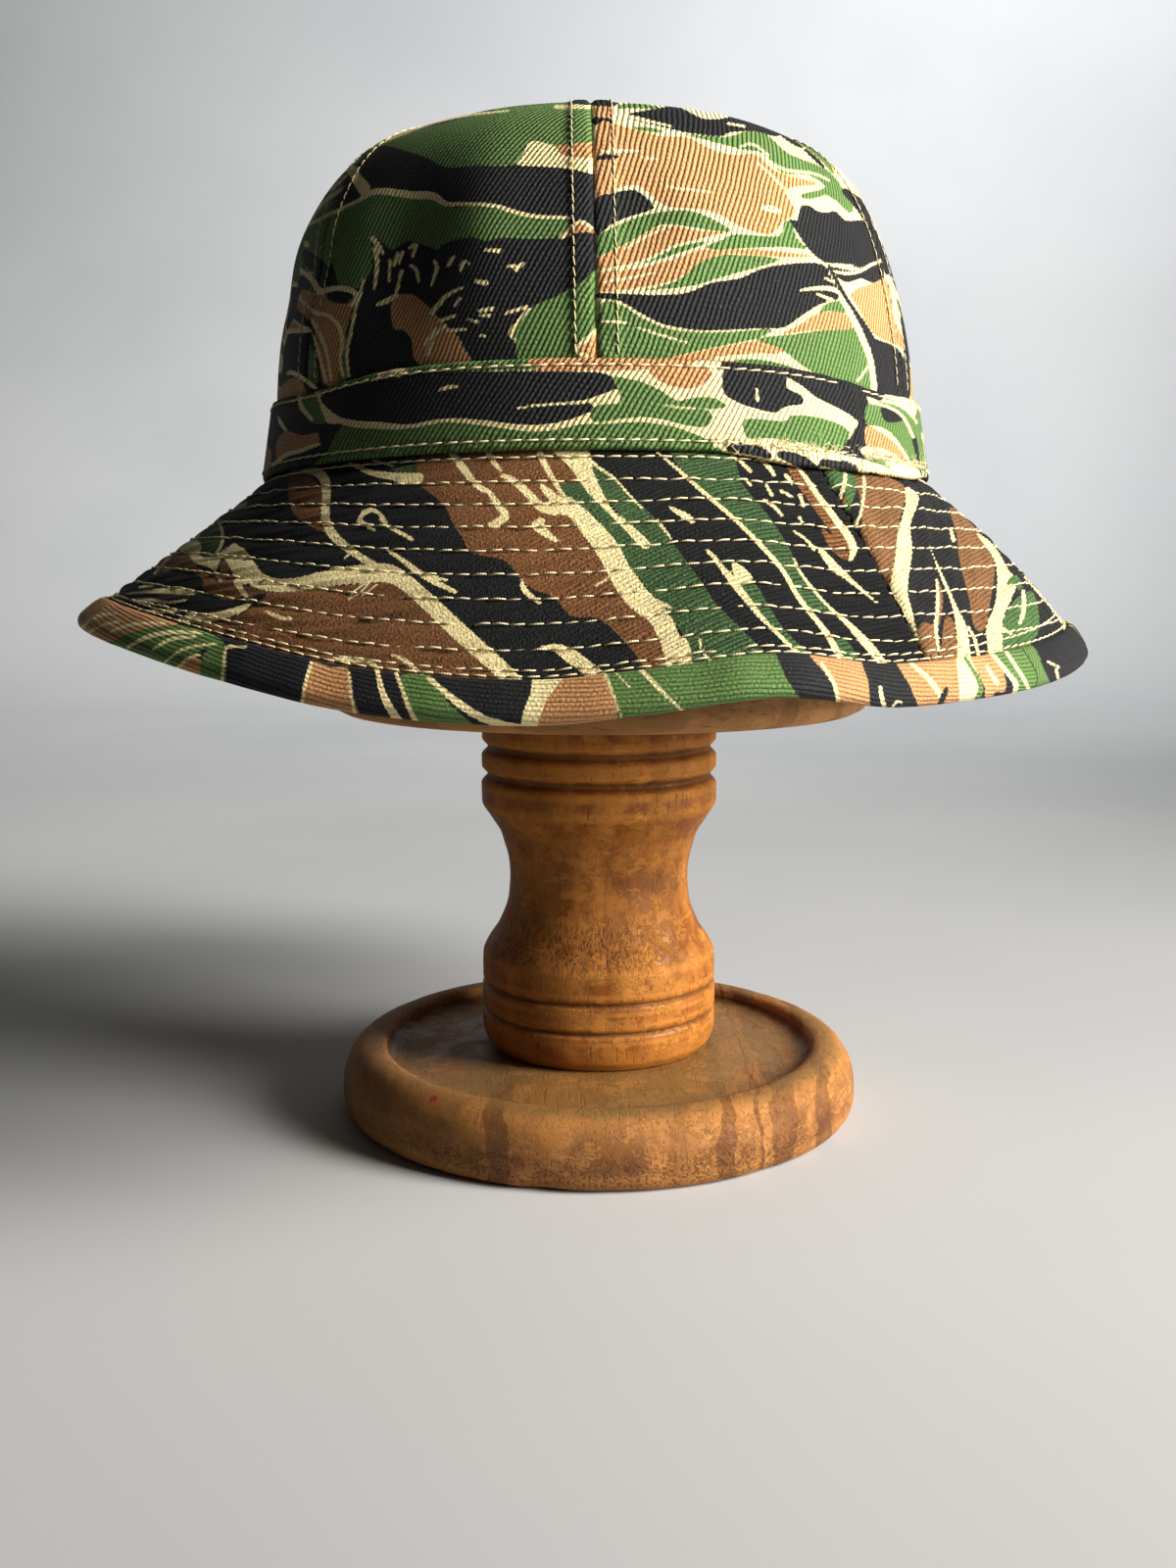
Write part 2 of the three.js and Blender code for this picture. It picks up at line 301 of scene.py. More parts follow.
@dataclass(frozen=True)
class InkShape:
    """A shape of one ink in picture units: a closed patch, or a stroke with a half-width at each point."""

    ink: Ink
    edge: Array  # columns, rows and half-widths along its line
    closed: bool

    @classmethod
    def read(cls, ink: Ink, text: str) -> "InkShape":
        """Reads a shape and rounds its line.

        Args:
            ink: Its ink.
            text: Its points, as x,y round a patch or x,y,half-width along a stroke.

        Returns:
            The shape.
        """
        points = np.array([[float(number) for number in point.split(",")] for point in text.split()])
        closed = points.shape[1] == 2
        edge = rounded(points, closed)
        if closed:
            edge = np.pad(np.vstack([edge, edge[:1]]), ((0, 0), (0, 1)))
        return cls(ink, edge, closed)

    def depth(self, x: Array, y: Array) -> Array:
        """Distance into the shape: the half-width at the nearest place of its line, less the distance to it.

        The outline of a patch has no width, and inside it by the even-odd rule the distance is positive.

        Args:
            x: Picture columns.
            y: Picture rows.

        Returns:
            Distances in picture units.
        """
        deepest = np.full(x.shape, -np.inf)
        inside = np.zeros(x.shape, bool)
        for (ax, ay, start), (bx, by, end) in zip(self.edge[:-1], self.edge[1:]):
            run, rise = bx - ax, by - ay
            share = np.clip(((x - ax) * run + (y - ay) * rise) / (run * run + rise * rise + TINY), 0.0, 1.0)
            away = np.hypot(x - ax - share * run, y - ay - share * rise)
            deepest = np.maximum(deepest, start + share * (end - start) - away)
            crossing = ax + (y - ay) * run / (rise if abs(rise) > TINY else TINY)
            inside ^= ((ay > y) != (by > y)) & (x < crossing)
        return np.where(inside & self.closed, -deepest, deepest)


def lay_ink(fields: Array, ink: Ink, depth: Array) -> Array:
    """Lays a shape of one ink over what is there.

    Inside the shape its ink's field rises to the depth and the others sink below it. So the highest field at
    a place names its ink, and the place where two fields are equal is the edge between them.

    Args:
        fields: Places by four inks.
        ink: The shape's ink.
        depth: Distance into the shape at each place, negative outside.

    Returns:
        The new fields.
    """
    depth = np.clip(depth, -INK_REACH, INK_REACH)[:, None]
    over = np.minimum(fields, -depth)
    over[:, ink] = np.maximum(fields[:, ink], depth[:, 0])
    return over


def field_shares(fields: Array) -> Array:
    """Ink fields as shares from 0 to 1, a half at the edge of a shape."""
    return 0.5 + fields / (2.0 * INK_REACH)


@dataclass(frozen=True)
class PrintChart:
    """The print of one piece as the picture shows it: a ground ink with shapes laid on it in order."""

    ground: Ink
    shapes: list[InkShape]

    @classmethod
    def read(cls, ground: Ink, text: str) -> "PrintChart":
        """Reads a chart.

        A line of it names a shape and its ink, then gives the points of one or more such shapes, with ;
        between them. A line that starts with blanks goes on from the one before.

        Args:
            ground: The ink under the shapes.
            text: The chart's lines.

        Returns:
            The chart.
        """
        shapes = []
        for line in text.strip().replace("\n  ", " ").splitlines():
            title, outlines = line.split(":")
            ink = Ink[title.split(", ")[1].upper()]
            shapes += [InkShape.read(ink, outline) for outline in outlines.split(";")]
        return cls(ground, shapes)

    def paint(self, x: Array, y: Array) -> Array:
        """Ink fields at picture places.

        Args:
            x: Picture columns.
            y: Picture rows.

        Returns:
            Places by four fields, in picture units.
        """
        fields = np.full((len(x), len(Ink)), -INK_REACH)
        fields[:, self.ground] = INK_REACH
        for shape in self.shapes:
            low = shape.edge[:, :2].min(axis=0) - INK_REACH
            high = shape.edge[:, :2].max(axis=0) + INK_REACH
            near = np.flatnonzero((x > low[0]) & (x < high[0]) & (y > low[1]) & (y < high[1]))
            if len(near):
                fields[near] = lay_ink(fields[near], shape.ink, shape.depth(x[near], y[near]))
        return fields


@dataclass(frozen=True)
class StripeBar:
    """Bars of one ink: their shift as a share of the period, their half-width and how far it swells."""

    ink: Ink
    shift: float
    half: float
    swell: float


STRIPE_BARS = (
    StripeBar(Ink.GREEN, 0.0, 7.0, 4.0),
    StripeBar(Ink.BROWN, 0.37, 3.8, 4.2),
    StripeBar(Ink.BLACK, 0.69, 5.4, 4.6),
)


@dataclass(frozen=True)
class WildStripe:
    """Tiger stripe where the picture shows none: wandering tapered bars with cream edges.

    Bars of each ink lie a period apart. Their middle lines wander by slow ripples, and their half-widths
    swell and shrink along them, so that bars taper, end and begin again.
    """

    seed: int
    slant: float = 0.0
    period: float = 27.0
    sway: float = 6.0
    sway_length: float = 85.0
    sway_rates: tuple[float, float] = (0.7, 1.6)
    shiver: float = 1.5
    shiver_length: float = 19.0
    shiver_rates: tuple[float, float] = (0.5, 1.4)
    swell_length: float = 58.0
    lane_offset: float = 41.0
    rim: float = 2.0
    rim_swell: float = 2.2
    rim_length: float = 33.0
    rim_rates: tuple[float, float] = (1.0, 2.0)
    fleck_level: float = 2.0
    fleck_gain: float = 1.4
    fleck_length: float = 9.0
    fleck_rates: tuple[float, float] = (0.45, 2.4)

    def paint(self, across: Array, along: Array) -> Array:
        """Ink fields at cloth places.

        Args:
            across: Cloth coordinate round the hat, in millimetres.
            along: Cloth coordinate up the hat, in millimetres.

        Returns:
            Places by four fields, in picture units.
        """
        turn = math.radians(self.slant)
        run = across * math.cos(turn) + along * math.sin(turn)
        rise = along * math.cos(turn) - across * math.sin(turn)
        rise += self.sway * Ripples(self.sway_length, self.seed, self.sway_rates).at(run, rise)
        rise += self.shiver * Ripples(self.shiver_length, self.seed + 1, self.shiver_rates).at(run, rise)
        fields = np.full((len(across), len(Ink)), -INK_REACH)
        fields[:, Ink.CREAM] = INK_REACH
        for order, bar in enumerate(STRIPE_BARS):
            lane = np.floor(rise / self.period - bar.shift + 0.5)
            off = rise - (lane + bar.shift) * self.period
            ripple = Ripples(self.swell_length, self.seed + 11 + order).at(run, lane * self.lane_offset)
            depth = (bar.half + bar.swell * ripple - np.abs(off)) * PICTURE_PER_MM
            ripple = Ripples(self.rim_length, self.seed + 21 + order, self.rim_rates).at(run, off)
            fields = lay_ink(fields, Ink.CREAM, depth + self.rim + self.rim_swell * ripple)
            fields = lay_ink(fields, bar.ink, depth)
        ripple = Ripples(self.fleck_length, self.seed + 31, self.fleck_rates).at(run, rise)
        fleck = ripple - self.fleck_level
        return lay_ink(fields, Ink.CREAM, fleck * PICTURE_PER_MM * self.fleck_gain)


@dataclass(frozen=True)
class ClothPrint:
    """How one piece is printed: its chart where the picture shows it, and wild stripe round the rest."""

    chart: PrintChart
    wild: WildStripe
    seen_to: float = 64.0
    gone_by: float = 74.0

    def paint(self, world: Array, azimuth: Array, flat: Array) -> Array:
        """Ink fields of a piece, from 0 to 1 with edges where two are equal.

        Args:
            world: Points in millimetres, x, y, z last.
            azimuth: Their azimuths.
            flat: Their cloth coordinates.

        Returns:
            Points by four fields.
        """
        turn = np.abs(wrapped(azimuth.ravel()))
        hidden = smooth_share(self.seen_to, self.gone_by, turn)[:, None]
        column, row = VIEW.chart(world.reshape(-1, 3))
        cloth = flat.reshape(-1, 2)
        charted = self.chart.paint(column, row)
        fields = charted * (1.0 - hidden) + self.wild.paint(cloth[:, 0], cloth[:, 1]) * hidden
        return field_shares(fields)


# The print as the front view shows it, read off piece by piece, in picture units.
LEFT_CROWN_CHART = PrintChart.read(Ink.BLACK, """
side ground, green: 270,120 340,120 385,146 372,160 352,185 340,215 318,226 300,250 270,262; 310,226 330,220
  338,250 336,272 322,276 308,262
top leaf, green: 385,146 420,134 480,119 505,112 510,94 580,92 584,108 612,109 612,147 566,149 541,144
  527,168 487,169 455,171 435,161 400,150
apex notch, black: 583,100 612,100 612,107 586,107
top rims, cream: 378,150,2 410,136,2.5 445,124,2 480,117,1.5 520,113,1; 567,109,2 582,109,2.5 603,109,2
upper tan, brown: 566,149 612,146 612,164 581,160 572,155
upper cream, cream: 541,144 557,146 566,149 573,157 585,160 612,163 612,178 580,172 550,170 527,168 533,158
middle green, green: 330,226 352,213 385,196 420,200 445,204 462,212 490,208 522,215 552,223 582,222 572,241
  542,244 512,243 495,246 481,242 455,248 447,255 430,249 415,246 400,255 388,245 380,242 380,275 370,288
  360,295 345,288 340,272 333,255
middle rim, cream: 313,230,1.6 338,218,2 365,205,2 385,195,3.4 420,199,4.1 442,200,4.1 455,208,2.7
  475,208,1.9 505,210,2.2 540,220,2.2 581,222,1.6
tan curl, brown: 571,245 573,239 585,228 594,224 602,229 611,238 597,237 585,239
curl edge, cream: 573,243,1.6 582,233,1.9 592,226,2 604,232,1.6
lower green, green: 613,279 597,285 570,301 540,314 530,327 520,341 526,350 535,370 613,370
ragged tan, brown: 613,334 600,345 586,357 596,366 614,367
brown leaf, brown: 400,305 420,300 436,312 450,327 467,342 474,356 480,372 427,372 420,347 411,337 401,334
leaf edges, cream: 540,315,1.9 530,327,2.2 521,340,2.4 526,347,1.6; 610,336,2 599,346,2.7 587,357,2
  600,364,2; 385,311,1.9 395,307,3 405,301,2.2
leaf hairs, cream: 441,319,3 450,308,2.7 458,300,2.2 473,293,1.4; 450,327,2.2 465,322,1.6; 457,337,2.2
  475,336,1.6; 464,312,1.9 470,304,1.6; 433,352,1.9 445,335,1.6; 440,345,1.9 455,332,1.6; 436,362,1.9
  442,348,1.6
combs, cream: 380,243,2.7 387,252,3 391,259,1.6; 383,255,3.2 385,266,2.7 384,280,2.2 382,295,1.4;
  418,253,1.9 424,250,2.2 421,262,1.6; 406,258,1.9 402,271,1.6; 411,257,1.9 407,269,1.6; 398,266,1.9
  397,287,1.6; 410,277,2.2 404,300,1.6; 419,271,1.9 425,276,2.2 427,287,1.6; 443,266,1.9 446,274,2.2
  440,291,1.6; 457,271,1.9 463,262,1.9; 470,276,1.9 473,267,1.9 479,269,1.6
dark flecks, cream: 494,255,1.6 510,256,2.7; 527,274,3.2 534,269,2.2; 486,287,2.2 496,289,3; 489,317,1.9
  503,315,2.4; 490,322,1.6 500,322,1.9; 515,320,1.6 525,317,2 537,313,1.9; 478,326,1.6 488,329,2;
  519,272,1.9 524,271,1.9; 490,342,1.9 494,343,1.9
side flecks, cream: 352,180,1.6 345,187,2.2 337,195,1.6; 349,192,1.6 333,204,2.2 317,215,1.6; 330,207,1.6
  322,216,2.2 315,227,1.6; 303,246,2.7 309,248,4.6 314,250,2.4; 306,256,1.6 311,268,2.2 318,278,1.6
side cream, cream: 349,169 364,170 367,177 376,187 378,193 370,200 362,190 356,178
side dark, black: 306,253 318,258 329,266 334,273 331,282 318,277 309,267
side brown, brown: 290,294 303,292 318,298 334,300 360,306 358,323 353,340 355,361 352,392 330,392 326,361
  322,338 312,324 300,312
side olive, green: 346,350 352,356 354,378 352,392 344,392 347,372; 316,352 321,362 325,378 324,392 314,392
side bows, cream: 292,270,2 308,277,2.4 320,287,3 326,297,3.4 343,294,2.8 360,297,3 363,305,2 358,312,1.6;
  290,290,2 300,298,2.4 312,311,2 322,319,2.2 335,322,2 346,333,2.4 349,350,2 347,366,1.6 350,384,1.8;
  371,284,1.4 368,298,2 362,319,1.8 358,340,2 354,361,1.8 356,384,1.6; 318,326,1.4 328,345,2 334,362,1.6
  338,388,1.4; 320,342,1.2 324,356,2 328,372,1.8 333,390,1.4
side gap, black: 334,300 345,299 356,304 356,309 345,309 335,306
side wedge, cream: 278,306 290,317 305,329 320,338 300,340 278,338
side wedge fill, brown: 278,316 294,325 306,334 290,335 278,331
foot bow, cream: 278,391,2 288,383,2.4 298,380,2.4 310,387,2.4 322,396,2
foot brown, brown: 284,398 292,388 302,386 312,396 310,408 290,412
""")

RIGHT_CROWN_CHART = PrintChart.read(Ink.CREAM, """
apex dark, black: 604,102 628,102 628,108 606,108; 606,120 624,121 624,127 606,127
apex tan, brown: 608,109 625,110 624,119 608,119
top green, green: 632,109,2 650,108,2.5 670,110,1.5; 648,131,1.5 660,132,2.2 674,134,1.4
top black, black: 642,116 670,111 685,108 697,111 717,121 737,121 755,117 775,122 788,128 798,136 790,139
  770,134 745,135 735,139 705,136 682,131 642,121
shoulder rim, black: 786,127,2.4 798,136,2.6 808,144,2.4 818,150,1.4; 822,153,1.4 832,162,2 840,170,1.4
shoulder shade, green: 806,135,1.6 818,145,2.2 830,154,2.4 842,165,2.2 850,176,1.4
top scratches, cream: 627,113,1.5 640,118,2 660,123,1.6 685,129,1.2; 743,126,1.5 760,129,1.5
big tan, brown: 609,128 635,129 675,139 700,140 725,152 745,158 772,158 790,174 812,181 836,188 802,193
  812,216 799,226 785,239 755,231 725,215 682,211 665,199 650,189 630,192 609,202
upper green, green: 700,137 740,140 762,134 782,137 805,157 845,174 866,202 871,212 866,217 852,204 836,195
  842,190 825,179 797,176 780,157 755,152 725,144
upper veins, cream: 778,158,1.4 790,168,1.6 805,174,1.6 830,177,1.5 846,184,1.2; 755,150,1.2 768,147,1.5
  784,158,1.2
upper islet, green: 820,200,2.6 829,199,3.6 838,197,3 846,194,2
tan lights, cream: 615,155,1.5 632,154,2 650,154,1.4; 657,161,1.4 670,162,1.4; 680,190,1.3 700,193,1.5
  726,196,1.3; 773,166,1.3 786,178,1.3 800,192,1.5; 778,212,2 787,213,3.5 796,216,2
tan dark, black: 611,161,2.2 620,160,2.4 630,160,1.2
seam lens, black: 608,204 627,197 640,194 652,196 667,212 642,221 622,230 608,240
strand green, green: 610,242 632,229 660,219 690,215 712,217 735,228 746,237 707,232 690,229 672,230 655,240
  630,253 610,261
strand tans, brown: 612,263 640,249 668,233 690,231 715,236 742,237 715,243 690,254 662,267 640,273 612,276;
  612,278 640,276 668,270 705,257 735,254 790,256 830,262 790,262 742,259 715,270 690,285 655,293 612,297
strand green right, green: 720,252 738,244 752,239 795,241 800,226 808,228 813,243 823,254 800,252 760,253
  735,255; 648,297 675,292 695,284 712,269 740,260 795,264 772,273 735,283 705,292
strand green thin, green: 660,267,1.5 680,259,3 700,252,3.4 718,248,1.5
strand lines, cream: 613,276,1.5 640,272,2 665,263,1.6 690,251,1.4 716,245,1.4 746,238,1.2; 638,254,1.2
  660,241,1.5 682,232,1.3; 665,269,1.3 690,262,1.6 716,252,1.3; 614,288,1.2 640,284,1.6 668,278,1.2
big lens, black: 610,299 662,301 700,299 725,289 755,284 778,274 810,269 840,270 852,290 861,303 838,310
  818,322 800,334 775,335 725,337 697,335 672,329 650,317 632,307 610,304
big lens lights, cream: 817,296,1.5 835,294,2.2 850,295,2.6 858,301,1.4; 834,300,1.4 849,306,2; 842,284,1.3
  852,288,1.6; 846,279,1.3 860,284,1.6
under green, green: 612,311 635,312 652,323 677,334 705,339 745,339 787,336 770,346 720,356 687,364 650,372
  612,372
under lines, cream: 614,328,1.5 640,329,1.3; 650,334,1.2 675,342,1.6 702,350,1.3
under tan, brown: 636,374 690,364 720,357 752,351 775,348 792,351 800,359 770,364 735,374
side green, green: 772,346 812,341 845,336 868,332 878,346 888,368 890,404 850,390 820,374 797,356; 752,366
  775,367 800,372 830,384 820,388 780,378 752,374
side green lights, cream: 730,366,2 760,364,2.6 783,364,3.4 805,369,3.6 822,379,2.4; 886,374,1.3 875,389,1.4
side tan, brown: 797,341 815,332 832,321 850,318 863,321 872,330 866,336 830,337
side green sliver, green: 836,320 842,311 856,307 864,313 862,320 847,317
right blacks, black: 806,224 813,225 815,216 818,210 826,210 833,215 842,217 853,216 863,225 881,225 889,234
  895,248 899,263 889,268 877,273 860,269 843,268 832,261 822,250 814,238; 846,272 870,276 890,270 900,266
  902,280 900,290 886,287 878,284 866,288 856,284
right black rim, cream: 848,270,1.2 860,271,1.4 872,271,1; 847,276,1.3 863,279,1.7 877,277,1.7 888,271,1.6
  899,266,1.6
right tan, brown: 868,302 876,294 888,290 902,285 909,297 913,328 928,356 912,351 890,339 876,314
right edge, black: 846,272,1.5 862,302,2 874,322,3 888,345,4 896,368,4.5 900,400,4
right foot, black: 880,335 892,345 915,355 924,372 930,404 897,408 896,372
right edge light, cream: 858,304,2.5 868,320,3 880,345,3.4 889,370,3 892,404,3
side seam dark, black: 862,195,3 880,212,6 893,232,7 902,254,6 906,276,4; 936,372,4 938,400,4
side seam light, cream: 874,192,1.5 890,210,2 904,236,2 912,268,2
side strip tan, brown: 900,215,2 912,245,4 918,285,4 926,330,4
""")

BAND_CHART = PrintChart.read(Ink.CREAM, """
left ground, black: 250,400 280,404 306,400 322,394 330,404 322,412 334,432 352,432 340,448 334,470 290,486
  250,500
left olive, green: 308,404 326,400 326,414 332,431 318,432 311,420
left bows, cream: 305,404,2 308,416,2.6 318,428,2; 322,396,2 328,410,2.4 333,424,2.6 342,429,3; 276,416,1.6
  284,428,2.4 292,440,1.6
left brown, brown: 282,452 292,440 308,444 325,442 322,456 300,460 284,472
left brown rim, cream: 280,474,2 292,464,2.4 306,460,2.4 326,453,1.6
top green, green: 330,396 360,384 390,376 392,384 362,392 332,402; 420,364 480,360 545,358 548,376 480,378
  420,381
top tan, brown: 545,358 620,356 700,358 708,370 660,377 600,378 548,378
long lens, black: 327,406 345,396 385,388 430,380 500,379 605,380 628,386 636,393 620,400 602,408 605,417
  590,425 562,433 517,433 475,427 445,428 415,433 362,430 340,421
lower green, green: 334,462 350,434 385,438 420,437 455,431 490,433 540,440 570,438 600,432 650,430 690,434
  722,446 730,470 600,470 450,472 326,478
lens rim, cream: 342,428,3 365,433,3.8 388,434,3.6 418,435,2 455,429,2 490,431,2.6 520,435,3 545,437,3.4
  567,435,3.6 588,430,3 620,430,2.6 650,428,2.6 680,431,2.8 705,438,3 722,446,2.5
lens lights, cream: 526,417,1.2 545,414,1.5 570,412,1.5 597,410,2 614,405,2.6 638,400,3.5; 448,398,1.5
  458,395,2.4 467,394,1.4; 388,382,3 398,380,4 408,384,1.6
middle green, green: 625,384 647,387 670,395 690,409 725,421 721,435 700,434 672,427 645,426 605,430 607,414
  634,410
tan lens, brown: 662,376 700,373 726,378 722,388 712,395 694,396 675,390
lens sweep, cream: 622,381,2.5 650,385,3.4 668,391,3.6 686,400,3.8 704,403,3.6 722,399,3.4 735,390,3
green tip, green: 690,411 708,406 728,406 741,414 732,417 704,416
middle line, cream: 680,414,1.4 708,417,1.3
top dark, black: 740,358 800,362 850,372 900,386 900,408 884,404 850,394 815,386 780,384 742,382
dark blob, black: 742,376 780,378 801,382 803,396 819,404 816,414 801,415 790,421 765,415 750,409 738,399
blob fleck, cream: 772,397,1.4 773,408,2
right dark, black: 802,382 840,387 884,404 884,440 880,476 855,466 875,430 835,409 815,392
cream sweep, cream: 802,393 813,390 834,406 858,418 876,431 867,440 850,429 825,424 800,421 805,414 817,413
  819,405
right green, green: 758,433 766,427 800,430 808,424 840,427 867,441 852,463 820,456 790,447 765,449
end green, green: 884,414 900,410 925,420 940,446 948,480 935,478 915,448 900,436 884,432
end dark, black: 900,416 916,418 922,428 910,431 902,428; 930,440 940,452 950,486 942,490 934,462
end tan, brown: 884,434 896,440 913,452 926,472 905,461 884,456
end lines, cream: 890,411,1.4 908,416,1.6 922,426,1.6 932,446,1.6; 882,460,4 900,462,4.6 918,473,4.6
  934,486,4 948,498,4
end green low, green: 886,470,3 900,474,4 912,486,3
frayed foot, cream: 730,454,3 760,450,2.6 790,452,3.4 802,456,3.6 816,455,3.6 838,461,3.4 860,467,3
  882,472,3 904,480,3.4 926,493,4 952,504,5
foot rolls, black: 744,457,3.4 758,457,5.5 774,460,5.5 784,465,3.4; 797,464,4 810,468,6 823,474,6 832,480,4;
  839,472,3.4 851,474,4.4 864,477,4.4 872,481,2.6; 888,484,2 896,487,2.6 904,492,2
""")

FRONT_BRIM_CHART = PrintChart.read(Ink.BLACK, """
middle brown, brown: 425,492 424,478 434,462 480,456 570,456 590,500 580,522 602,555 620,582 632,607 650,625
  665,637 684,677 692,694 664,688 642,660 612,632 583,629 566,610 545,602 530,590 515,572 480,564 474,552
  462,534 456,520 445,508
main green, green: 572,494 590,492 600,474 622,482 640,505 662,522 682,547 700,572 717,595 730,615 745,630
  760,645 772,657 786,680 704,692 700,655 685,630 642,577 610,532 577,506
left browns, brown: 296,481 308,479 327,497 329,510 326,525 330,543 307,531 297,519 294,498; 164,571 176,559
  190,556 200,578 217,584 222,596 227,571 236,587 246,607 230,612 207,601 196,582 160,583; 250,599 276,603
  266,608 254,610; 84,632 112,616 136,624 180,636 150,642 110,644
small green, green: 221,529 226,540 225,560 214,568 204,569 206,556 201,550 209,540
lower brown, brown: 176,638 215,632 240,629 262,616 276,604 325,600 385,594 404,594 425,610 450,635 485,672
  520,704 440,716 300,696 206,668
left creams, cream: 182,633 194,625 220,625 256,615 248,624 225,632 198,636; 178,560 200,541 216,530 208,541
  201,550 206,557 204,566 213,569 230,560 240,554 250,566 262,582 246,598 232,574 226,570 220,582 211,578
  198,574 190,562
left lights, cream: 222,529,1.4 227,544,1.8 226,556,1.8 221,564,1.4; 236,521,1.5 244,517,2.4 251,514,1.4;
  240,594,2.2 247,603,2.6 254,611,1.6; 219,579,1.4 220,586,1.4 226,593,1.2; 158,585,1.4 166,575,1.6
  176,566,1.4
left dark, black: 116,613 128,604 140,594 160,588 200,587 207,596 197,606 192,617 182,630 150,625 130,618;
  186,618 200,620 211,607 218,617 240,613 270,605 266,612 238,618 218,625 200,625
left lines, cream: 142,599,1.2 156,597,1.4; 128,606,1.2 150,604,1.4 165,603,3 182,603,3.6 197,604,3;
  137,612,1.3 153,612,1.7 172,615,1.5 190,612,1.2; 141,623,1.5 158,624,1.7 176,623,1.9 183,624,1.2
arch, cream: 309,481,2 321,481,4.2 331,489,5.2 333,505,4.4 332,521,4.4 333,534,4.8 340,546,4.8 353,558,4.2
  367,568,3.6 382,577,4; 352,569,1.2 361,563,1.6
long cream, cream: 244,566,8 252,580,10 262,591,8.5 280,597,7 305,596,7 330,591,8 355,587,9 378,585,9.5
  396,585,9.5 412,593,8.5 430,608,8.4 448,625,8.6 466,642,9 487,661,8.8 506,678,8.6 528,699,8
hook, cream: 366,532,2 370,525,2.6 378,520,2.4 387,524,2 393,532,2.2 397,538,1.5; 366,531,2 374,536,2.4
  382,541,1.5; 388,530,1.6 398,538,2 409,544,2 420,550,2.2
slash, cream: 396,562,1.6 410,571,2.6 426,583,3 444,594,3 465,604,2; 425,586,1.3 440,588,1.6 456,592,1.3
neck green, green: 400,472 424,466 422,480 402,481
neck creams, cream: 357,473,1.5 368,478,2.2 381,483,3 400,486,4.2 414,488,5.5 427,488,5.5; 381,470,1.2
  390,472,1.4 401,476,1.2
lower veins, cream: 340,671,1.5 355,673,2.8 370,674,2.6 381,678,2.6 387,690,2; 400,668,1.6 412,673,2.2
  421,680,2.4 429,689,2.4 437,699,2.2; 405,683,1.5 410,690,2 414,700,2; 272,624,1.5 285,630,2.2 298,631,1.5
grasses, cream: 356,613,1 360,604,1.2 371,596,1; 362,609,1 376,596,1.2; 369,608,1 384,597,1.2
branches, cream: 512,485,2 522,489,3 533,498,4 543,508,4.2 553,518,4.6 566,521,5; 553,496,2.2 560,503,4.6
  568,511,5 578,516,6; 551,463,3.4 558,478,3 565,490,2.6 571,500,2 577,508,2; 460,462,3.2 473,478,4
  481,489,3.4 490,498,3 499,502,2.6 505,511,3.4 512,520,3.6 516,527,4 508,533,4 499,536,2; 498,461,3
  505,473,2.6 511,480,1.5
middle creams, cream: 542,537 550,529 556,530 557,538 573,555 556,548; 550,661 565,657 580,660 592,667
  605,677 617,687 626,700 607,697 595,688 587,681 577,675 567,666
middle lights, cream: 532,591,1.5 534,600,2.8 541,608,3 551,615,1.8; 606,599,1.2 620,591,1.4
wide cream, cream: 577,506 592,515 610,532 630,554 642,577 660,602 685,630 693,648 703,656 707,692 684,692
  677,665 665,637 650,625 632,607 612,570 587,535 578,526 560,524 554,516
cream spike, cream: 562,456 598,456 605,480 612,496 622,514 640,532 661,551 663,559 655,559 637,540 617,520
  600,503 590,489 579,474
spike split, black: 621,513,1 627,520,1.6 632,526,1
green lines, cream: 598,464,1.5 612,478,1.6 627,488,1.4 640,503,1.4 655,518,1.2; 671,531,1.6 680,543,1.6
  685,549,1.2; 668,612,1.6 676,616,2 686,621,1.4; 714,652,1.4 716,662,1.6 722,671,1.6 732,678,1.4
right greens, green: 686,456 742,456 757,492 777,517 792,537 807,562 817,585 837,610 857,629 830,622 812,605
  797,579 775,554 750,529 720,503 692,475; 752,596 768,592 783,615 800,642 826,668 806,662 782,635 762,608;
  853,650 864,654 874,668 877,684 862,682
right green lines, cream: 670,461,1.3 687,475,1.6 704,490,2 720,504,2.2 735,517,2.2 750,530,2.2 775,555,2.4
  798,581,2.4 815,610,2.6 835,635,2.8 846,650,3.2 862,680,3.6; 684,518,1.5 693,523,3 702,528,3.4
  707,532,2.6; 722,562,2 730,570,2.4 738,581,3 748,593,4 758,606,3.8 768,619,3.2 778,631,2.4 800,653,2
  818,668,1.2; 810,570,1.2 818,586,1.6 837,610,1.7 853,626,1.7 866,637,2.8 877,649,4.2 889,662,4.6 904,682,4
green knot, cream: 747,574 758,578 768,590 760,596 750,590
night flecks, cream: 747,465,1.6 755,470,2 766,481,2; 777,470,2 785,477,2.4 790,485,1.8; 802,485,2
  808,493,2; 782,495,1.6 788,506,2; 797,501,1.8 808,507,1.5; 816,505,2 820,516,1.8; 780,510,1.5 790,517,2
  798,526,1.6; 815,527,1.6 819,533,1.6; 810,542,1.2 822,550,1.6 831,561,2; 760,488,1.4 766,495,1.6;
  837,561,2.6 845,571,4 853,580,4.4 863,588,3 878,601,1.8 896,616,1.2
seam browns, brown: 802,474 814,480 832,505 847,525 860,540 872,564 861,558 842,535 822,507 810,490; 838,540
  848,545 868,567 862,571 848,561
seam cream, cream: 814,477,1.6 824,490,2.6 834,505,3 847,522,3.2 858,537,3.6 866,548,4 871,560,4 868,571,2
""")

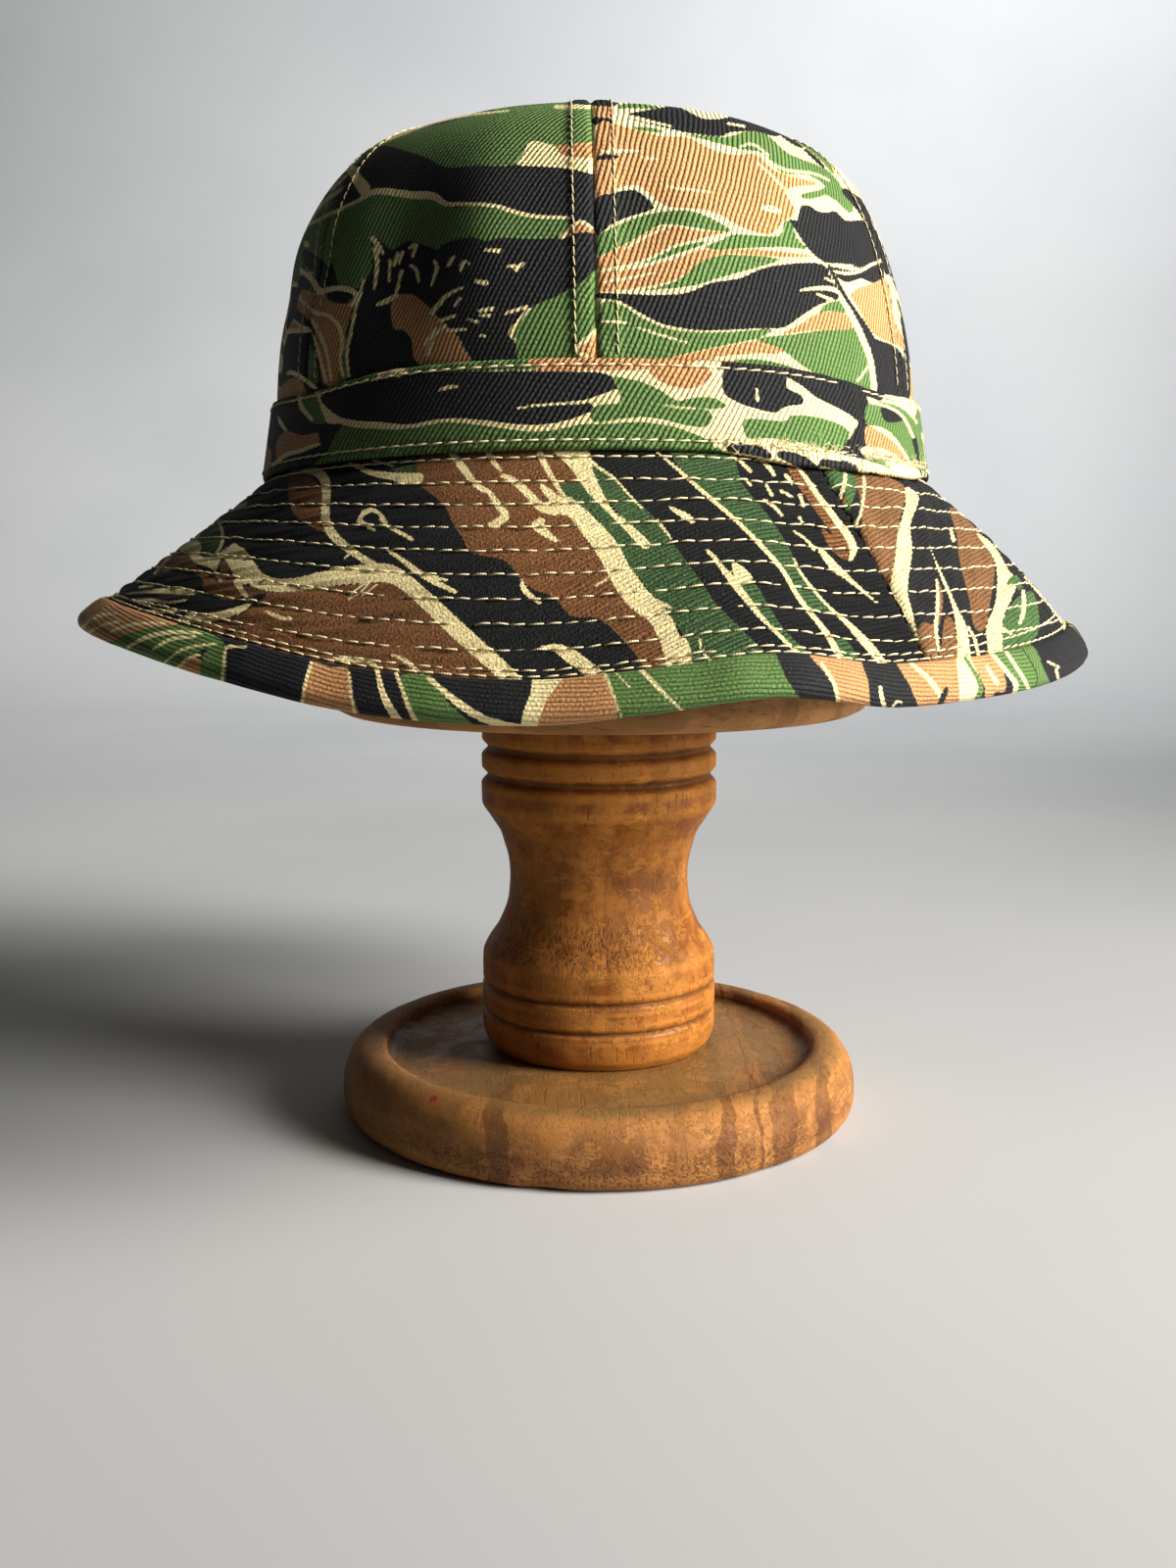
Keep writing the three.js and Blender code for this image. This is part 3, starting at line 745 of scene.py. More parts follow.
BACK_BRIM_CHART = PrintChart.read(Ink.BLACK, """
seam greens, green: 840,478 861,479 858,495 850,503 843,494; 866,480 876,485 872,506 862,531 857,541 862,508
seam line, cream: 862,477,2 862,493,2.2 855,513,2 850,530,1.4
seam brown, brown: 853,524,2 858,515,3.4 862,508,2
big brown, brown: 875,480 905,486 925,500 918,530 914,560 909,602 892,580 879,552 880,520 875,498
brown line, cream: 881,482,1.8 882,500,1.6 878,525,1.6 868,545,2.2 870,560,1.6
wavy cream, cream: 924,497 937,505 936,516 929,536 931,562 926,602 932,627 937,655 942,684 934,680 925,632
  909,602 912,580 916,545 924,515
strips, brown: 955,594 962,604 961,626 956,652 958,690 942,690 936,652 941,635 953,635; 964,632 971,630
  976,650 978,690 958,690 961,655
strip light, cream: 956,592,1.4 957,615,1.8 955,640,1.8 958,664,1.4
spike, cream: 948,556 958,578 967,597 977,620 987,642 991,684 977,684 977,655 972,620 961,592
tick, cream: 970,539,1.5 973,551,2.2
right brown, brown: 969,517 990,532 1008,554 1015,580 1011,612 1005,642 994,640 989,612 979,572 976,545
right cream, cream: 996,544 1014,556 1030,583 1039,592 1030,616 1022,640 1027,690 1015,690 1006,644 1016,614
  1017,580 1009,562
foot split, cream: 988,640,1.6 996,656,1.8 1000,684,1.8
small green, green: 1030,596,3 1036,592,4.6 1041,600,2.5
right green, green: 1030,620 1040,608 1055,605 1061,640 1052,658 1052,690 1028,690 1023,640
right lights, cream: 1044,603,1.8 1045,620,2.4 1041,636,1.8; 1022,640,1.4 1032,647,1.4; 1040,580,1.6
  1056,600,1.8 1074,620,1.8 1088,640,1.6
tip cream, cream: 1084,628 1097,640 1096,653 1089,656 1086,644
""")

BINDING_CHART = PrintChart.read(Ink.BLACK, """
left curl, brown: 66,640 85,622 112,606 140,622 184,636 140,644 112,656 84,654
curl lights, cream: 84,640,1.5 98,629,2 118,626,1.5; 112,645,1.3 135,637,1.8 168,636,1.5; 90,646,1.3
  104,638,1.6 122,634,1.3
left green, green: 116,654 140,644 184,638 226,652 222,662 204,664 186,692 150,680 118,664
left green lines, cream: 130,661,1.5 150,650,2.6 175,645,2.2 206,646,1.5; 157,662,1.5 175,652,2 199,650,1.5;
  166,678,1.2 182,665,1.6 200,659,1.6 226,657,1.2
left tan, brown: 184,684 195,672 206,674 206,696 190,694
left tan rim, cream: 179,684,1.5 192,672,1.8 204,668,1.5
second green, green: 206,672 214,662 230,658 228,706 206,700
second green rim, cream: 252,660,1.4 240,660,1.6 231,661,1.8 228,680,1.6 226,704,1.6
second tan, brown: 316,676 337,680 357,684 360,710 364,736 307,730 310,706
second tan rims, cream: 318,676,2 311,700,2 307,728,1.6; 355,684,1.4 358,708,1.6 363,734,1.6
third green, green: 407,690 441,690 455,715 488,748 428,746 414,716
dark lines, cream: 384,680,2.4 389,702,3 395,717,4 404,732,4.2 416,746,4; 403,684,2 410,702,2.2 417,722,2.4
  430,746,2.4; 437,692,2.4 455,707,3 470,719,4 487,730,4 504,737,3.6 540,744,3
middle cream, cream: 546,690 576,688 560,716 552,750 532,750 534,726 541,708
middle tan, brown: 564,706 580,688 602,684 622,686 632,717 642,744 600,750 551,750 556,718
big green, green: 618,684 655,680 740,668 784,660 802,692 820,730 740,734 642,744 628,716
middle lines, cream: 617,686,2 627,712,1.5 638,742,1.2; 651,680,2.4 667,697,2.4 681,711,2 704,732,1.5;
  626,684,1.5 643,702,1.2
right tan, brown: 826,664 870,662 882,684 887,702 885,732 857,732 852,705 841,686
right tan rim, cream: 838,676,1.5 852,700,2 857,730,2.2; 898,700,1.5 900,712,2.4 904,728,2; 910,722,1.3
  916,716,1.5 921,718,1.2
far tan, brown: 912,668 940,662 978,662 983,698 974,732 944,730 928,699
far tan light, cream: 926,674,1.6 945,690,2.6 955,702,3 962,714,2.4
far tan dark, black: 957,724,2 963,710,3 966,702,1.5
far cream, cream: 976,662 988,662 1001,696 994,716 978,732 979,706
far green, green: 980,664,1.5 996,689,2 1001,702,2.6 997,713,2.6 988,728,2
last tan, brown: 988,664 1010,660 1027,696 1020,712 1002,726 1005,702
last tan light, cream: 1007,680,1.8 1018,698,2.2
last tan dark, black: 1010,719,1.5 1018,709,3 1026,712,1.5
last green, green: 1008,660 1050,656 1064,680 1072,710 1030,722 1037,700
last lines, cream: 1008,662,2 1027,685,2.6 1037,700,2.6 1030,716,1.8; 1026,664,1.8 1043,690,2 1054,712,1.8;
  1069,675,1.3 1081,681,1.4; 1078,684,1.4 1081,698,1.4
""")


@dataclass
class Sheet:
    """A closed cloth wall as rows by columns of points: rows run round its section and columns along it."""

    points: Array  # rows by columns by 3, in world millimetres
    flat: Array  # rows by columns by 2 cloth coordinates, in millimetres
    fields: Array  # points by 4 ink fields, in row order
    printed: Array  # rows by columns, 1 on printed faces and 0 on the plain reverse
    upward: bool = True  # whether the outer face's rows run up the hat, as its faces need, or down it

    def add_object(self, name: str) -> Piece:
        """Makes the mesh: quads between rows and columns, closed round the section, capped at both ends.

        Args:
            name: Name of the object.

        Returns:
            The object, with its print as attributes.
        """
        rows, columns = self.points.shape[:2]
        index = np.arange(rows * columns).reshape(rows, columns)
        after = np.roll(index, -1, axis=0)
        quads = np.stack([index[:, :-1], index[:, 1:], after[:, 1:], after[:, :-1]], axis=-1).reshape(-1, 4)
        faces = quads.tolist() + [index[:, 0].tolist(), index[::-1, -1].tolist()]
        if not self.upward:
            faces = [face[::-1] for face in faces]
        piece = add_mesh(name, self.points.reshape(-1, 3), faces, self.flat.reshape(-1, 2))
        ink = piece.data.attributes.new("print", "FLOAT_COLOR", "POINT")
        ink.data.foreach_set("color", self.fields.astype(np.float32).ravel())
        face = piece.data.attributes.new("printed", "FLOAT", "POINT")
        face.data.foreach_set("value", self.printed.astype(np.float32).ravel())
        return piece


def add_mesh(name: str, points: Array, faces: list[list[int]], flat: Array) -> Piece:
    """Makes a smooth shaded object at the origin.

    Args:
        name: Name of the object and its mesh.
        points: Vertices in millimetres.
        faces: Vertex numbers of each face, outward.
        flat: Cloth coordinates of each vertex.

    Returns:
        The object, linked to the scene.
    """
    mesh = bpy.data.meshes.new(name)
    mesh.from_pydata((points * METRES).tolist(), [], faces)
    corners = np.empty(len(mesh.loops), np.int32)
    mesh.loops.foreach_get("vertex_index", corners)
    layer = mesh.uv_layers.new(name="cloth")
    layer.uv.foreach_set("vector", flat[corners].astype(np.float32).ravel())
    mesh.shade_smooth()
    mesh.update()
    piece = bpy.data.objects.new(name, mesh)
    bpy.context.scene.collection.objects.link(piece)
    return piece


def finish_piece(piece: Piece, material: bpy.types.Material, node: str = "") -> None:
    """Dresses a piece, sets it riding on the body and lets it stand for its solid.

    Args:
        piece: The piece.
        material: Its material.
        node: The solid that it stands for, if any.
    """
    piece.data.materials.append(material)
    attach(piece, Body.ROOT.value)
    if node:
        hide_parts(node)
    LOG.info("%s: %d faces", piece.name, len(piece.data.polygons))


def azimuth_steps(start: float, end: float, radius: float, fine: float, coarse: float) -> Array:
    """Azimuths from start to end, close together where the front view sees the cloth.

    Args:
        start: First azimuth.
        end: Last azimuth, larger.
        radius: Radius at which steps are measured.
        fine: Step in millimetres within SEEN_AZIMUTH of the front.
        coarse: Step in millimetres elsewhere.

    Returns:
        Rising azimuths.
    """
    even = np.linspace(start, end, STEP_SAMPLES)
    seen = smooth_share(SEEN_AZIMUTH + SEEN_FADE, SEEN_AZIMUTH, np.abs(wrapped(even)))
    crowd = 1.0 / coarse + (1.0 / fine - 1.0 / coarse) * seen
    count = np.concatenate([[0.0], np.cumsum((crowd[1:] + crowd[:-1]) / 2 * np.diff(even))])
    steps = int(count[-1] * math.radians(1.0) * radius) + 2
    return np.interp(np.linspace(0.0, count[-1], steps), count, even)


@dataclass(frozen=True)
class Fold:
    """A soft dent or ridge of the crown: where it is, how deep, and its spread each way."""

    name: str
    azimuth: float
    height: float
    depth: float
    around: float
    along: float

    def push(self, azimuth: Array, height: Array) -> Array:
        """How far it pushes the crown out: a bell curve each way."""
        turn = bell(wrapped(azimuth - self.azimuth), self.around)
        return self.depth * turn * bell(height - self.height, self.along)


CROWN_FOLDS = (
    Fold("front left dent", -34, 50, -4.0, 9, 22),
    Fold("front left ridge", -18, 58, 1.0, 6, 20),
    Fold("left crease", -66, 52, -2.2, 15, 8),
    Fold("left bulge", -78, 60, 0.9, 22, 14),
    Fold("front right dent", 7, 57, -2.3, 6, 11),
    Fold("front right ridge", 34, 70, 1.6, 11, 13),
    Fold("right dent", 108, 56, -1.8, 13, 20),
    Fold("back right dent", 140, 48, -2.4, 16, 18),
    Fold("back left dent", -138, 54, -2.0, 18, 16),
)


@dataclass(frozen=True)
class Gore:
    """One crown panel: its name, the azimuths of its seams, its mesh step in millimetres and its print."""

    name: str
    start: float
    end: float
    step: float
    cloth: ClothPrint


@dataclass
class Crown:
    """Six gores, straight sided at the band and rounded over to a nearly flat top."""

    gores: tuple[Gore, ...]
    radius: float = 92.2
    start: float = 22.0
    tuck: float = 6.0
    tuck_flare: float = 0.1
    rise: float = 71.2
    roundness: float = 6.9
    easing: float = 0.675
    cap_rise: float = 5.0
    tip_radius: float = 0.3
    wall: float = 1.2
    lean: float = -0.02
    parting: float = 0.1
    seam_allowance: float = 5.0
    seam_lift: float = 0.55
    seam_groove: float = 0.8
    groove_width: float = 0.75
    groove_clear: tuple[float, float] = (2.0, 12.0)
    allowance_edge: tuple[float, float] = (1.6, -0.4)
    stitch_sink: float = 0.3
    stitch_width: float = 0.55
    stitch_start: float = 1.0
    stitch_end: float = 9.0
    stitch_depth: float = 0.25
    widest_sine: float = 0.48
    pucker: float = 0.1
    pucker_length: float = 8.0
    pucker_seed: int = 3
    pucker_spread: float = 9.0
    inner_rows: int = 28
    outline_points: int = 3000
    apex_crowding: float = 2.2
    table_points: int = 1200
    line_points: int = 500

    def __post_init__(self) -> None:
        """Works out the outline once: radius, height and direction at even lengths from foot to apex.

        Height over a radius share s is a superellipse shoulder under a gently domed cap:
        start + rise * (1 - s ** roundness) ** easing + cap rise * (1 - s) ** 2.
        """
        inward = np.linspace(0.0, 1.0, self.outline_points) ** self.apex_crowding
        radius = self.radius + (self.tip_radius - self.radius) * inward
        share = radius / self.radius
        shoulder = np.maximum(1.0 - share**self.roundness, 0.0) ** self.easing
        height = self.start + self.rise * shoulder + self.cap_rise * (1.0 - share) ** 2
        radius = np.concatenate([[self.radius + self.tuck_flare * self.tuck], radius])
        height = np.concatenate([[self.start - self.tuck], height])
        outline = np.stack([radius, height], axis=-1)
        lengths = walked(outline)
        self.length = float(lengths[-1])
        self.places = np.linspace(0.0, self.length, self.table_points)
        self.outline = path_places(self.places, lengths, outline).T
        heading = np.gradient(self.outline, self.places, axis=1)
        self.heading = heading / np.hypot(heading[0], heading[1])

    def read(self, table: Array, length: Array) -> tuple[Array, Array]:
        """Both rows of an outline table at lengths from the foot."""
        return np.interp(length, self.places, table[0]), np.interp(length, self.places, table[1])

    def fold_depth(self, azimuth: Array, height: Array) -> Array:
        """How far all the folds together push the crown out."""
        return sum(fold.push(azimuth, height) for fold in CROWN_FOLDS)

    def seam_relief(self, away: Array, radius: Array) -> Array:
        """Lift of the cloth near a seam: up over the allowance, down along the seam and its stitches.

        Args:
            away: Distance from the nearest seam.
            radius: Radius of the place.

        Returns:
            Lift in millimetres.
        """
        past = away - self.seam_allowance
        lift = self.seam_lift * smooth_share(*self.allowance_edge, past)
        groove = self.seam_groove * bell(away, self.groove_width) * smooth_share(*self.groove_clear, radius)
        return lift - groove - self.stitch_sink * bell(past, self.stitch_width)

    def point(self, azimuth: Array, length: Array, lift: Array) -> Array:
        """World points of the crown's outer face, lifted along its normal.

        Args:
            azimuth: Azimuths.
            length: Lengths up the cloth from the foot.
            lift: Distances off the outer face.

        Returns:
            Points in millimetres, x, y, z last.
        """
        radius, height = self.read(self.outline, length)
        out, up = self.read(self.heading, length)
        offset = lift + self.fold_depth(azimuth, height)
        reach = np.maximum(radius + up * offset, self.tip_radius)
        points = polar(azimuth, reach, height - out * offset)
        points[..., 0] += self.lean * np.maximum(height - self.start, 0.0)
        return POSE.place(points)

    def build_gore(self, gore: Gore) -> Piece:
        """One gore as a closed wall: a fine outer face from foot to apex, a coarse inner face back down.

        Args:
            gore: The gore.

        Returns:
            The piece.
        """
        outer = np.linspace(0.0, self.length, int(self.length / gore.step))
        inner = np.linspace(self.length, 0.0, self.inner_rows)
        length = np.concatenate([outer, inner])[:, None]
        angle = gore.end - gore.start
        columns = int(math.radians(angle) * self.radius / gore.step)
        across = np.linspace(0.0, 1.0, columns)[None, :]
        radius = self.read(self.outline, length)[0]
        parting = np.degrees(np.arctan(self.parting / 2 / radius))
        turn = parting + across * (angle - 2.0 * parting)
        azimuth = gore.start + turn
        away = np.radians(np.minimum(turn, angle - turn)) * radius
        flat = np.stack([np.radians(turn - angle / 2) * radius, length + 0.0 * turn], axis=-1)
        seed = self.pucker_seed + int(gore.start)
        ripples = Ripples(self.pucker_length, seed).at(flat[..., 0], flat[..., 1])
        outside = (np.arange(len(length)) < len(outer))[:, None]
        relief = self.seam_relief(away, radius) + self.pucker * ripples * bell(away, self.pucker_spread)
        lift = np.where(outside, relief, -self.wall) + 0.0 * turn
        world = self.point(azimuth, length + 0.0 * turn, lift)
        fields = gore.cloth.paint(world, azimuth, flat)
        return Sheet(world, flat, fields, outside + 0.0 * turn).add_object("cloth_" + gore.name)

    def dress(self, groups: Groups) -> None:
        """Builds the gores in one twill.

        Args:
            groups: The shared node groups by name.
        """
        twill = CROWN_TWILL.material(groups)
        for gore in self.gores:
            finish_piece(self.build_gore(gore), twill, gore.name)

    def seam_stitches(self) -> Runs:
        """Lines of stitching each side of every seam, from the band to where seams crowd together.

        Returns:
            The lines.
        """
        runs = []
        start, end = self.tuck + self.stitch_start, self.length - self.stitch_end
        length = np.linspace(start, end, self.line_points)
        lift = np.full_like(length, self.seam_lift - self.stitch_depth)
        radius = self.read(self.outline, length)[0]
        beside = np.degrees(np.arcsin(np.minimum(self.seam_allowance / radius, self.widest_sine)))
        for gore in self.gores:
            for side in (-1.0, 1.0):
                azimuth = gore.start + side * beside
                line = self.point(azimuth, length, lift)
                above = self.point(azimuth, length, lift + 1.0)
                runs.append((line, unit(above - line)))
        return runs


@dataclass
class HatBand:
    """A strip wrapped over the crown's foot, its ends meeting at a seam right of the front."""

    cloth: ClothPrint
    bottom: float = 0.2
    top: float = 22.2
    bottom_radius: float = 96.9
    top_radius: float = 93.7
    wall: float = 1.2
    seam: float = 45.0
    parting: float = 0.06
    step: float = 0.55
    edge_round: float = 16.0
    top_stitch: float = 1.8
    bottom_stitch: float = 2.4
    stitch_clear: float = 1.0
    stitch_depth: float = 0.25
    dip: float = 2.4
    dip_azimuth: float = 53.0
    dip_spread: float = 15.0
    lip: float = 2.9
    lip_height: float = 4.5
    lip_start: float = 17.0
    lip_full: float = 31.0
    lip_fade: float = 54.0
    lip_end: float = 74.0
    lip_flare: float = 1.05
    stitch_sink: float = 0.32
    stitch_width: float = 0.6
    pucker: float = 0.16
    pucker_start: float = 0.55
    puckers: Ripples = Ripples(7.0, seed=71, rates=(1.0, 0.4))
    overlap: float = 0.5
    overlap_place: float = 2.5
    overlap_width: float = 2.4
    coarse_step: float = 1.6
    inner_rows: int = 5
    inner_inset: float = 0.4
    line_points: int = 3000

    def point(self, azimuth: Array, height: Array, lift: Array) -> Array:
        """World points of the tapered strip, lifted outward off its outer face.

        The top edge dips by a bell curve on each side of the front. Right of the front the foot rolls out and
        down over the brim as a lip, by the square of the share of the lip's height.

        Args:
            azimuth: Azimuths.
            height: Heights above the neck.
            lift: Distances off the outer face.

        Returns:
            Points in millimetres, x, y, z last.
        """
        share = (height - self.bottom) / (self.top - self.bottom)
        radius = self.bottom_radius + (self.top_radius - self.bottom_radius) * share
        turn = wrapped(azimuth)
        sag = self.dip * bell(np.abs(turn) - self.dip_azimuth, self.dip_spread) * np.maximum(share, 0.0) ** 2
        out = smooth_share(self.lip_start, self.lip_full, turn)
        out = out * smooth_share(self.lip_end, self.lip_fade, turn)
        near = np.clip(1.0 - (height - self.bottom) / self.lip_height, 0.0, 1.0) ** 2
        roll = self.lip * out * near
        radius = radius + lift + self.lip_flare * roll
        return POSE.place(polar(azimuth, radius, height - sag - roll + 0.0 * azimuth))

    def relief(self, azimuth: Array, height: Array) -> Array:
        """Lift of the outer face: folded edges rounded off, stitch lines drawn in, and small puckers.

        Args:
            azimuth: Azimuths.
            height: Heights above the neck.

        Returns:
            Lift in millimetres.
        """
        middle = (self.top + self.bottom) / 2
        share = np.abs(height - middle) / (self.top - middle)
        fold = -self.wall * (1.0 - np.sqrt(np.maximum(1.0 - share**self.edge_round, 0.0)))
        upper = bell(height - self.top + self.top_stitch, self.stitch_width)
        lower = bell(height - self.bottom - self.bottom_stitch, self.stitch_width)
        around = np.radians(azimuth) * self.top_radius
        pucker = self.pucker * self.puckers.at(around, height) * smooth_share(self.pucker_start, 1.0, share)
        beyond = np.radians(azimuth - self.seam - 360.0) * self.top_radius
        seam = self.overlap * bell(beyond + self.overlap_place, self.overlap_width)
        return fold - self.stitch_sink * (upper + lower) + pucker + seam

    def build(self) -> Piece:
        """The strip as a closed wall: outer face from the bottom up, plain inner face back down.

        Returns:
            The piece.
        """
        outer = np.linspace(self.bottom, self.top, int((self.top - self.bottom) / self.step))
        inner = np.linspace(self.top - self.inner_inset, self.bottom + self.inner_inset, self.inner_rows)
        height = np.concatenate([outer, inner])[:, None]
        start, end = self.seam + self.parting, self.seam + 360.0 - self.parting
        azimuth = azimuth_steps(start, end, self.top_radius, self.step, self.coarse_step)[None, :]
        outside = (np.arange(len(height)) < len(outer))[:, None]
        lift = np.where(outside, self.relief(azimuth, height), -self.wall)
        world = self.point(azimuth, height, lift)
        around = np.radians(wrapped(azimuth)) * self.top_radius
        flat = np.stack(np.broadcast_arrays(around, height), axis=-1)
        turn = azimuth + 0.0 * height
        fields = self.cloth.paint(world, turn, flat)
        return Sheet(world, flat, fields, outside + 0.0 * turn).add_object("cloth_hat_band")

    def dress(self, groups: Groups) -> None:
        """Builds the band in its twill, from the shared node groups."""
        finish_piece(self.build(), BAND_TWILL.material(groups), "hat_band")

    def edge_stitches(self) -> Runs:
        """Lines of stitching along the top and the bottom edge.

        Returns:
            The lines.
        """
        runs = []
        start, end = self.seam + self.stitch_clear, self.seam + 360.0 - self.stitch_clear
        azimuth = np.linspace(start, end, self.line_points)
        for height in (self.top - self.top_stitch, self.bottom + self.bottom_stitch):
            level = np.full_like(azimuth, height)
            line = self.point(azimuth, level, -self.stitch_depth)
            runs.append((line, polar(azimuth, 1.0, 0.0 * azimuth)))
        return runs


@dataclass(frozen=True)
class BrimSection:
    """The brim at one azimuth: its width and its drop angles at the neck and at the edge."""

    azimuth: float
    width: float
    inner_drop: float
    outer_drop: float


BRIM_SECTIONS = (
    BrimSection(-180, 67, 37, 42),
    BrimSection(-130, 66, 37, 41),
    BrimSection(-90, 64.5, 37, 35.5),
    BrimSection(-70, 65, 38, 36.5),
    BrimSection(-53, 67.5, 41, 40.5),
    BrimSection(-38, 70, 46.5, 47.5),
    BrimSection(-23, 72.5, 52.5, 54.5),
    BrimSection(-6, 74, 53.5, 56.5),
    BrimSection(4, 74, 50.5, 53),
    BrimSection(16, 73.5, 46.5, 49),
    BrimSection(29, 72, 50.5, 55),
    BrimSection(40, 71, 47.5, 57),
    BrimSection(52, 69.5, 44.5, 57),
    BrimSection(75, 66, 38, 55.5),
    BrimSection(105, 65, 35, 50),
    BrimSection(140, 66, 36, 44),
    BrimSection(180, 67, 37, 42),
)


def arc_travel(drop: Array, rate: Array, length: Array) -> tuple[Array, Array, Array]:
    """Travel along an arc that starts at a drop angle and turns by a rate per millimetre.

    The chord of an arc of turn 2h is length * sin(h) / h, and it heads along the middle angle.

    Args:
        drop: Starting angles below level, in radians.
        rate: Turn per millimetre.
        length: Lengths travelled.

    Returns:
        Distances out and down, and the angles reached.
    """
    half = rate * length / 2
    chord = length * np.sinc(half / math.pi)
    return chord * np.cos(drop + half), chord * np.sin(drop + half), drop + 2 * half


@dataclass(frozen=True)
class BrimHalf:
    """Half of the brim between its two seams: its name, first azimuth, print and lay of the cloth."""

    name: str
    start: float
    cloth: ClothPrint
    lay: float


@dataclass
class Brim:
    """Two quilted half rings that slope down from the neck, with a collar bent up behind the band."""

    halves: tuple[BrimHalf, ...]
    neck_radius: float = 94.5
    neck_drop: float = 1.2
    wall: float = 2.4
    collar: float = 8.0
    collar_bend: float = 4.0
    collar_angle: float = 83.0
    edge_cover: float = 2.0
    parting: float = 0.05
    step: float = 0.6
    cone_drop: float = 47.0
    full_width: float = 74.0
    first_row: float = 8.4
    row_pitch: float = 6.85
    rows: int = 8
    row_squeeze: tuple[float, float] = (0.55, 0.45)
    neck_row: float = 1.0
    double_rows: tuple[float, float] = (12.3, 10.5)
    row_drift: float = 1.9
    drift_azimuth: float = 72.0
    drift_spread: float = 24.0
    groove: float = 0.42
    groove_width: float = 1.5
    seam: float = 35.0
    seam_ridge: float = 0.55
    ridge_place: float = 3.0
    ridge_width: float = 2.6
    seam_groove: float = 0.7
    seam_width: float = 0.7
    pucker: float = 0.1
    puckers: Ripples = Ripples(6.0, seed=91, rates=(1.0, 0.8))
    wave: float = 0.16
    waves: Ripples = Ripples(15.0, seed=92)
    outward: float = 0.65
    plain_neck: tuple[float, float] = (0.0, 2.0)
    plain_edge: tuple[float, float] = (10.0, 11.5)
    mid_reach: float = 35.0
    coarse_step: float = 2.4
    under_rows: int = 24
    under_relief: float = 0.5
    under_seed: int = 50
    under_slant: float = 20.0
    line_points: int = 6000

    def __post_init__(self) -> None:
        """Gathers the sections, with each row's slope taken over its two neighbours round the ring."""
        table = np.array([[row.azimuth, row.width, row.inner_drop, row.outer_drop] for row in BRIM_SECTIONS])
        self.turns = table[:, 0]
        self.columns = table[:, 1:]
        turns = np.concatenate([[self.turns[-2] - 360.0], self.turns, [self.turns[1] + 360.0]])
        columns = np.vstack([self.columns[-2], self.columns, self.columns[1]])
        self.slopes = (columns[2:] - columns[:-2]) / (turns[2:] - turns[:-2])[:, None]

    def section(self, azimuth: Array) -> tuple[Array, Array, Array]:
        """Width and both drop angles at azimuths.

        Args:
            azimuth: Azimuths.

        Returns:
            Widths in millimetres, and inner and outer drops in radians.
        """
        row = curve_through(wrapped(azimuth), self.turns, self.columns, self.slopes)
        return row[..., 0], np.radians(row[..., 1]), np.radians(row[..., 2])

    def point(self, azimuth: Array, distance: Array, offset: Array) -> Array:
        """World points of the brim.

        Down the slope the drop angle goes evenly from the inner to the outer value. Above the neck the collar
        bends up, then stands straight behind the band. The offset is along the wall's normal.

        Args:
            azimuth: Azimuths.
            distance: Distances down the slope from the neck, negative up the collar.
            offset: Distances above the wall's middle.

        Returns:
            Points in millimetres, x, y, z last.
        """
        width, inner, outer = self.section(azimuth)
        upright = math.radians(self.collar_angle)
        out, down, drop = arc_travel(inner, (outer - inner) / width, np.maximum(distance, 0.0))
        bend = np.clip(distance, -self.collar_bend, 0.0)
        back, fall, turned = arc_travel(inner, (inner - upright) / self.collar_bend, bend)
        above = np.minimum(distance + self.collar_bend, 0.0)
        drop = np.where(distance > 0.0, drop, turned)
        radius = self.neck_radius + out + back + above * math.cos(upright) + offset * np.sin(drop)
        height = -self.neck_drop - down - fall - above * math.sin(upright) + offset * np.cos(drop)
        return POSE.place(polar(azimuth, radius, height))

    def row_distances(self, azimuth: Array, width: Array) -> list[Array]:
        """Distances of the stitched rows from the neck.

        One row is at the neck. Even rows follow, drawn in where the brim is narrow, then two near the edge.

        Args:
            azimuth: Azimuths.
            width: The brim's widths there.

        Returns:
            Distances for each row.
        """
        kept, drawn = self.row_squeeze
        squeeze = kept + drawn * width / self.full_width
        rows = [self.neck_row + 0.0 * width]
        rows += [(self.first_row + self.row_pitch * order) * squeeze for order in range(self.rows)]
        inner, outer = self.double_rows
        drift = self.row_drift * bell(wrapped(azimuth - self.drift_azimuth), self.drift_spread)
        return rows + [width - inner - drift, width - outer]

    def relief(self, azimuth: Array, distance: Array, width: Array) -> Array:
        """Quilting: cloth sinks along each stitched row and puckers a little beside it.

        Args:
            azimuth: Azimuths.
            distance: Distances down the slope from the neck.
            width: The brim's widths there.

        Returns:
            Lift in millimetres.
        """
        sunk = np.zeros(np.broadcast(azimuth, distance).shape)
        for row in self.row_distances(azimuth, width):
            sunk = np.maximum(sunk, bell(distance - row, self.groove_width))
        radius = self.neck_radius + self.outward * distance
        around = np.radians(azimuth) * radius
        pucker = self.pucker * self.puckers.at(around, distance) + self.wave * self.waves.at(around, distance)
        seam = np.radians((azimuth - self.seam + 90.0) % 180.0 - 90.0) * radius
        ridge = self.seam_ridge * bell(seam - self.ridge_place, self.ridge_width)
        ridge = ridge - self.seam_groove * bell(seam, self.seam_width)
        fade = smooth_share(*self.plain_neck, distance) * smooth_share(*self.plain_edge, width - distance)
        return (pucker + ridge - self.groove * sunk) * fade

    def flatten(self, azimuth: Array, distance: Array, lay: float) -> Array:
        """Cloth coordinates of the brim, unrolled as a cone of the mean slope.

        Args:
            azimuth: Azimuths.
            distance: Distances down the slope from the neck.
            lay: Azimuth where the slope runs along the second coordinate.

        Returns:
            Coordinates in millimetres, two last.
        """
        level = math.cos(math.radians(self.cone_drop))
        spread = self.neck_radius / level + distance
        fan = np.radians(azimuth - lay) * level
        return np.stack([spread * np.sin(fan), -spread * np.cos(fan)], axis=-1)

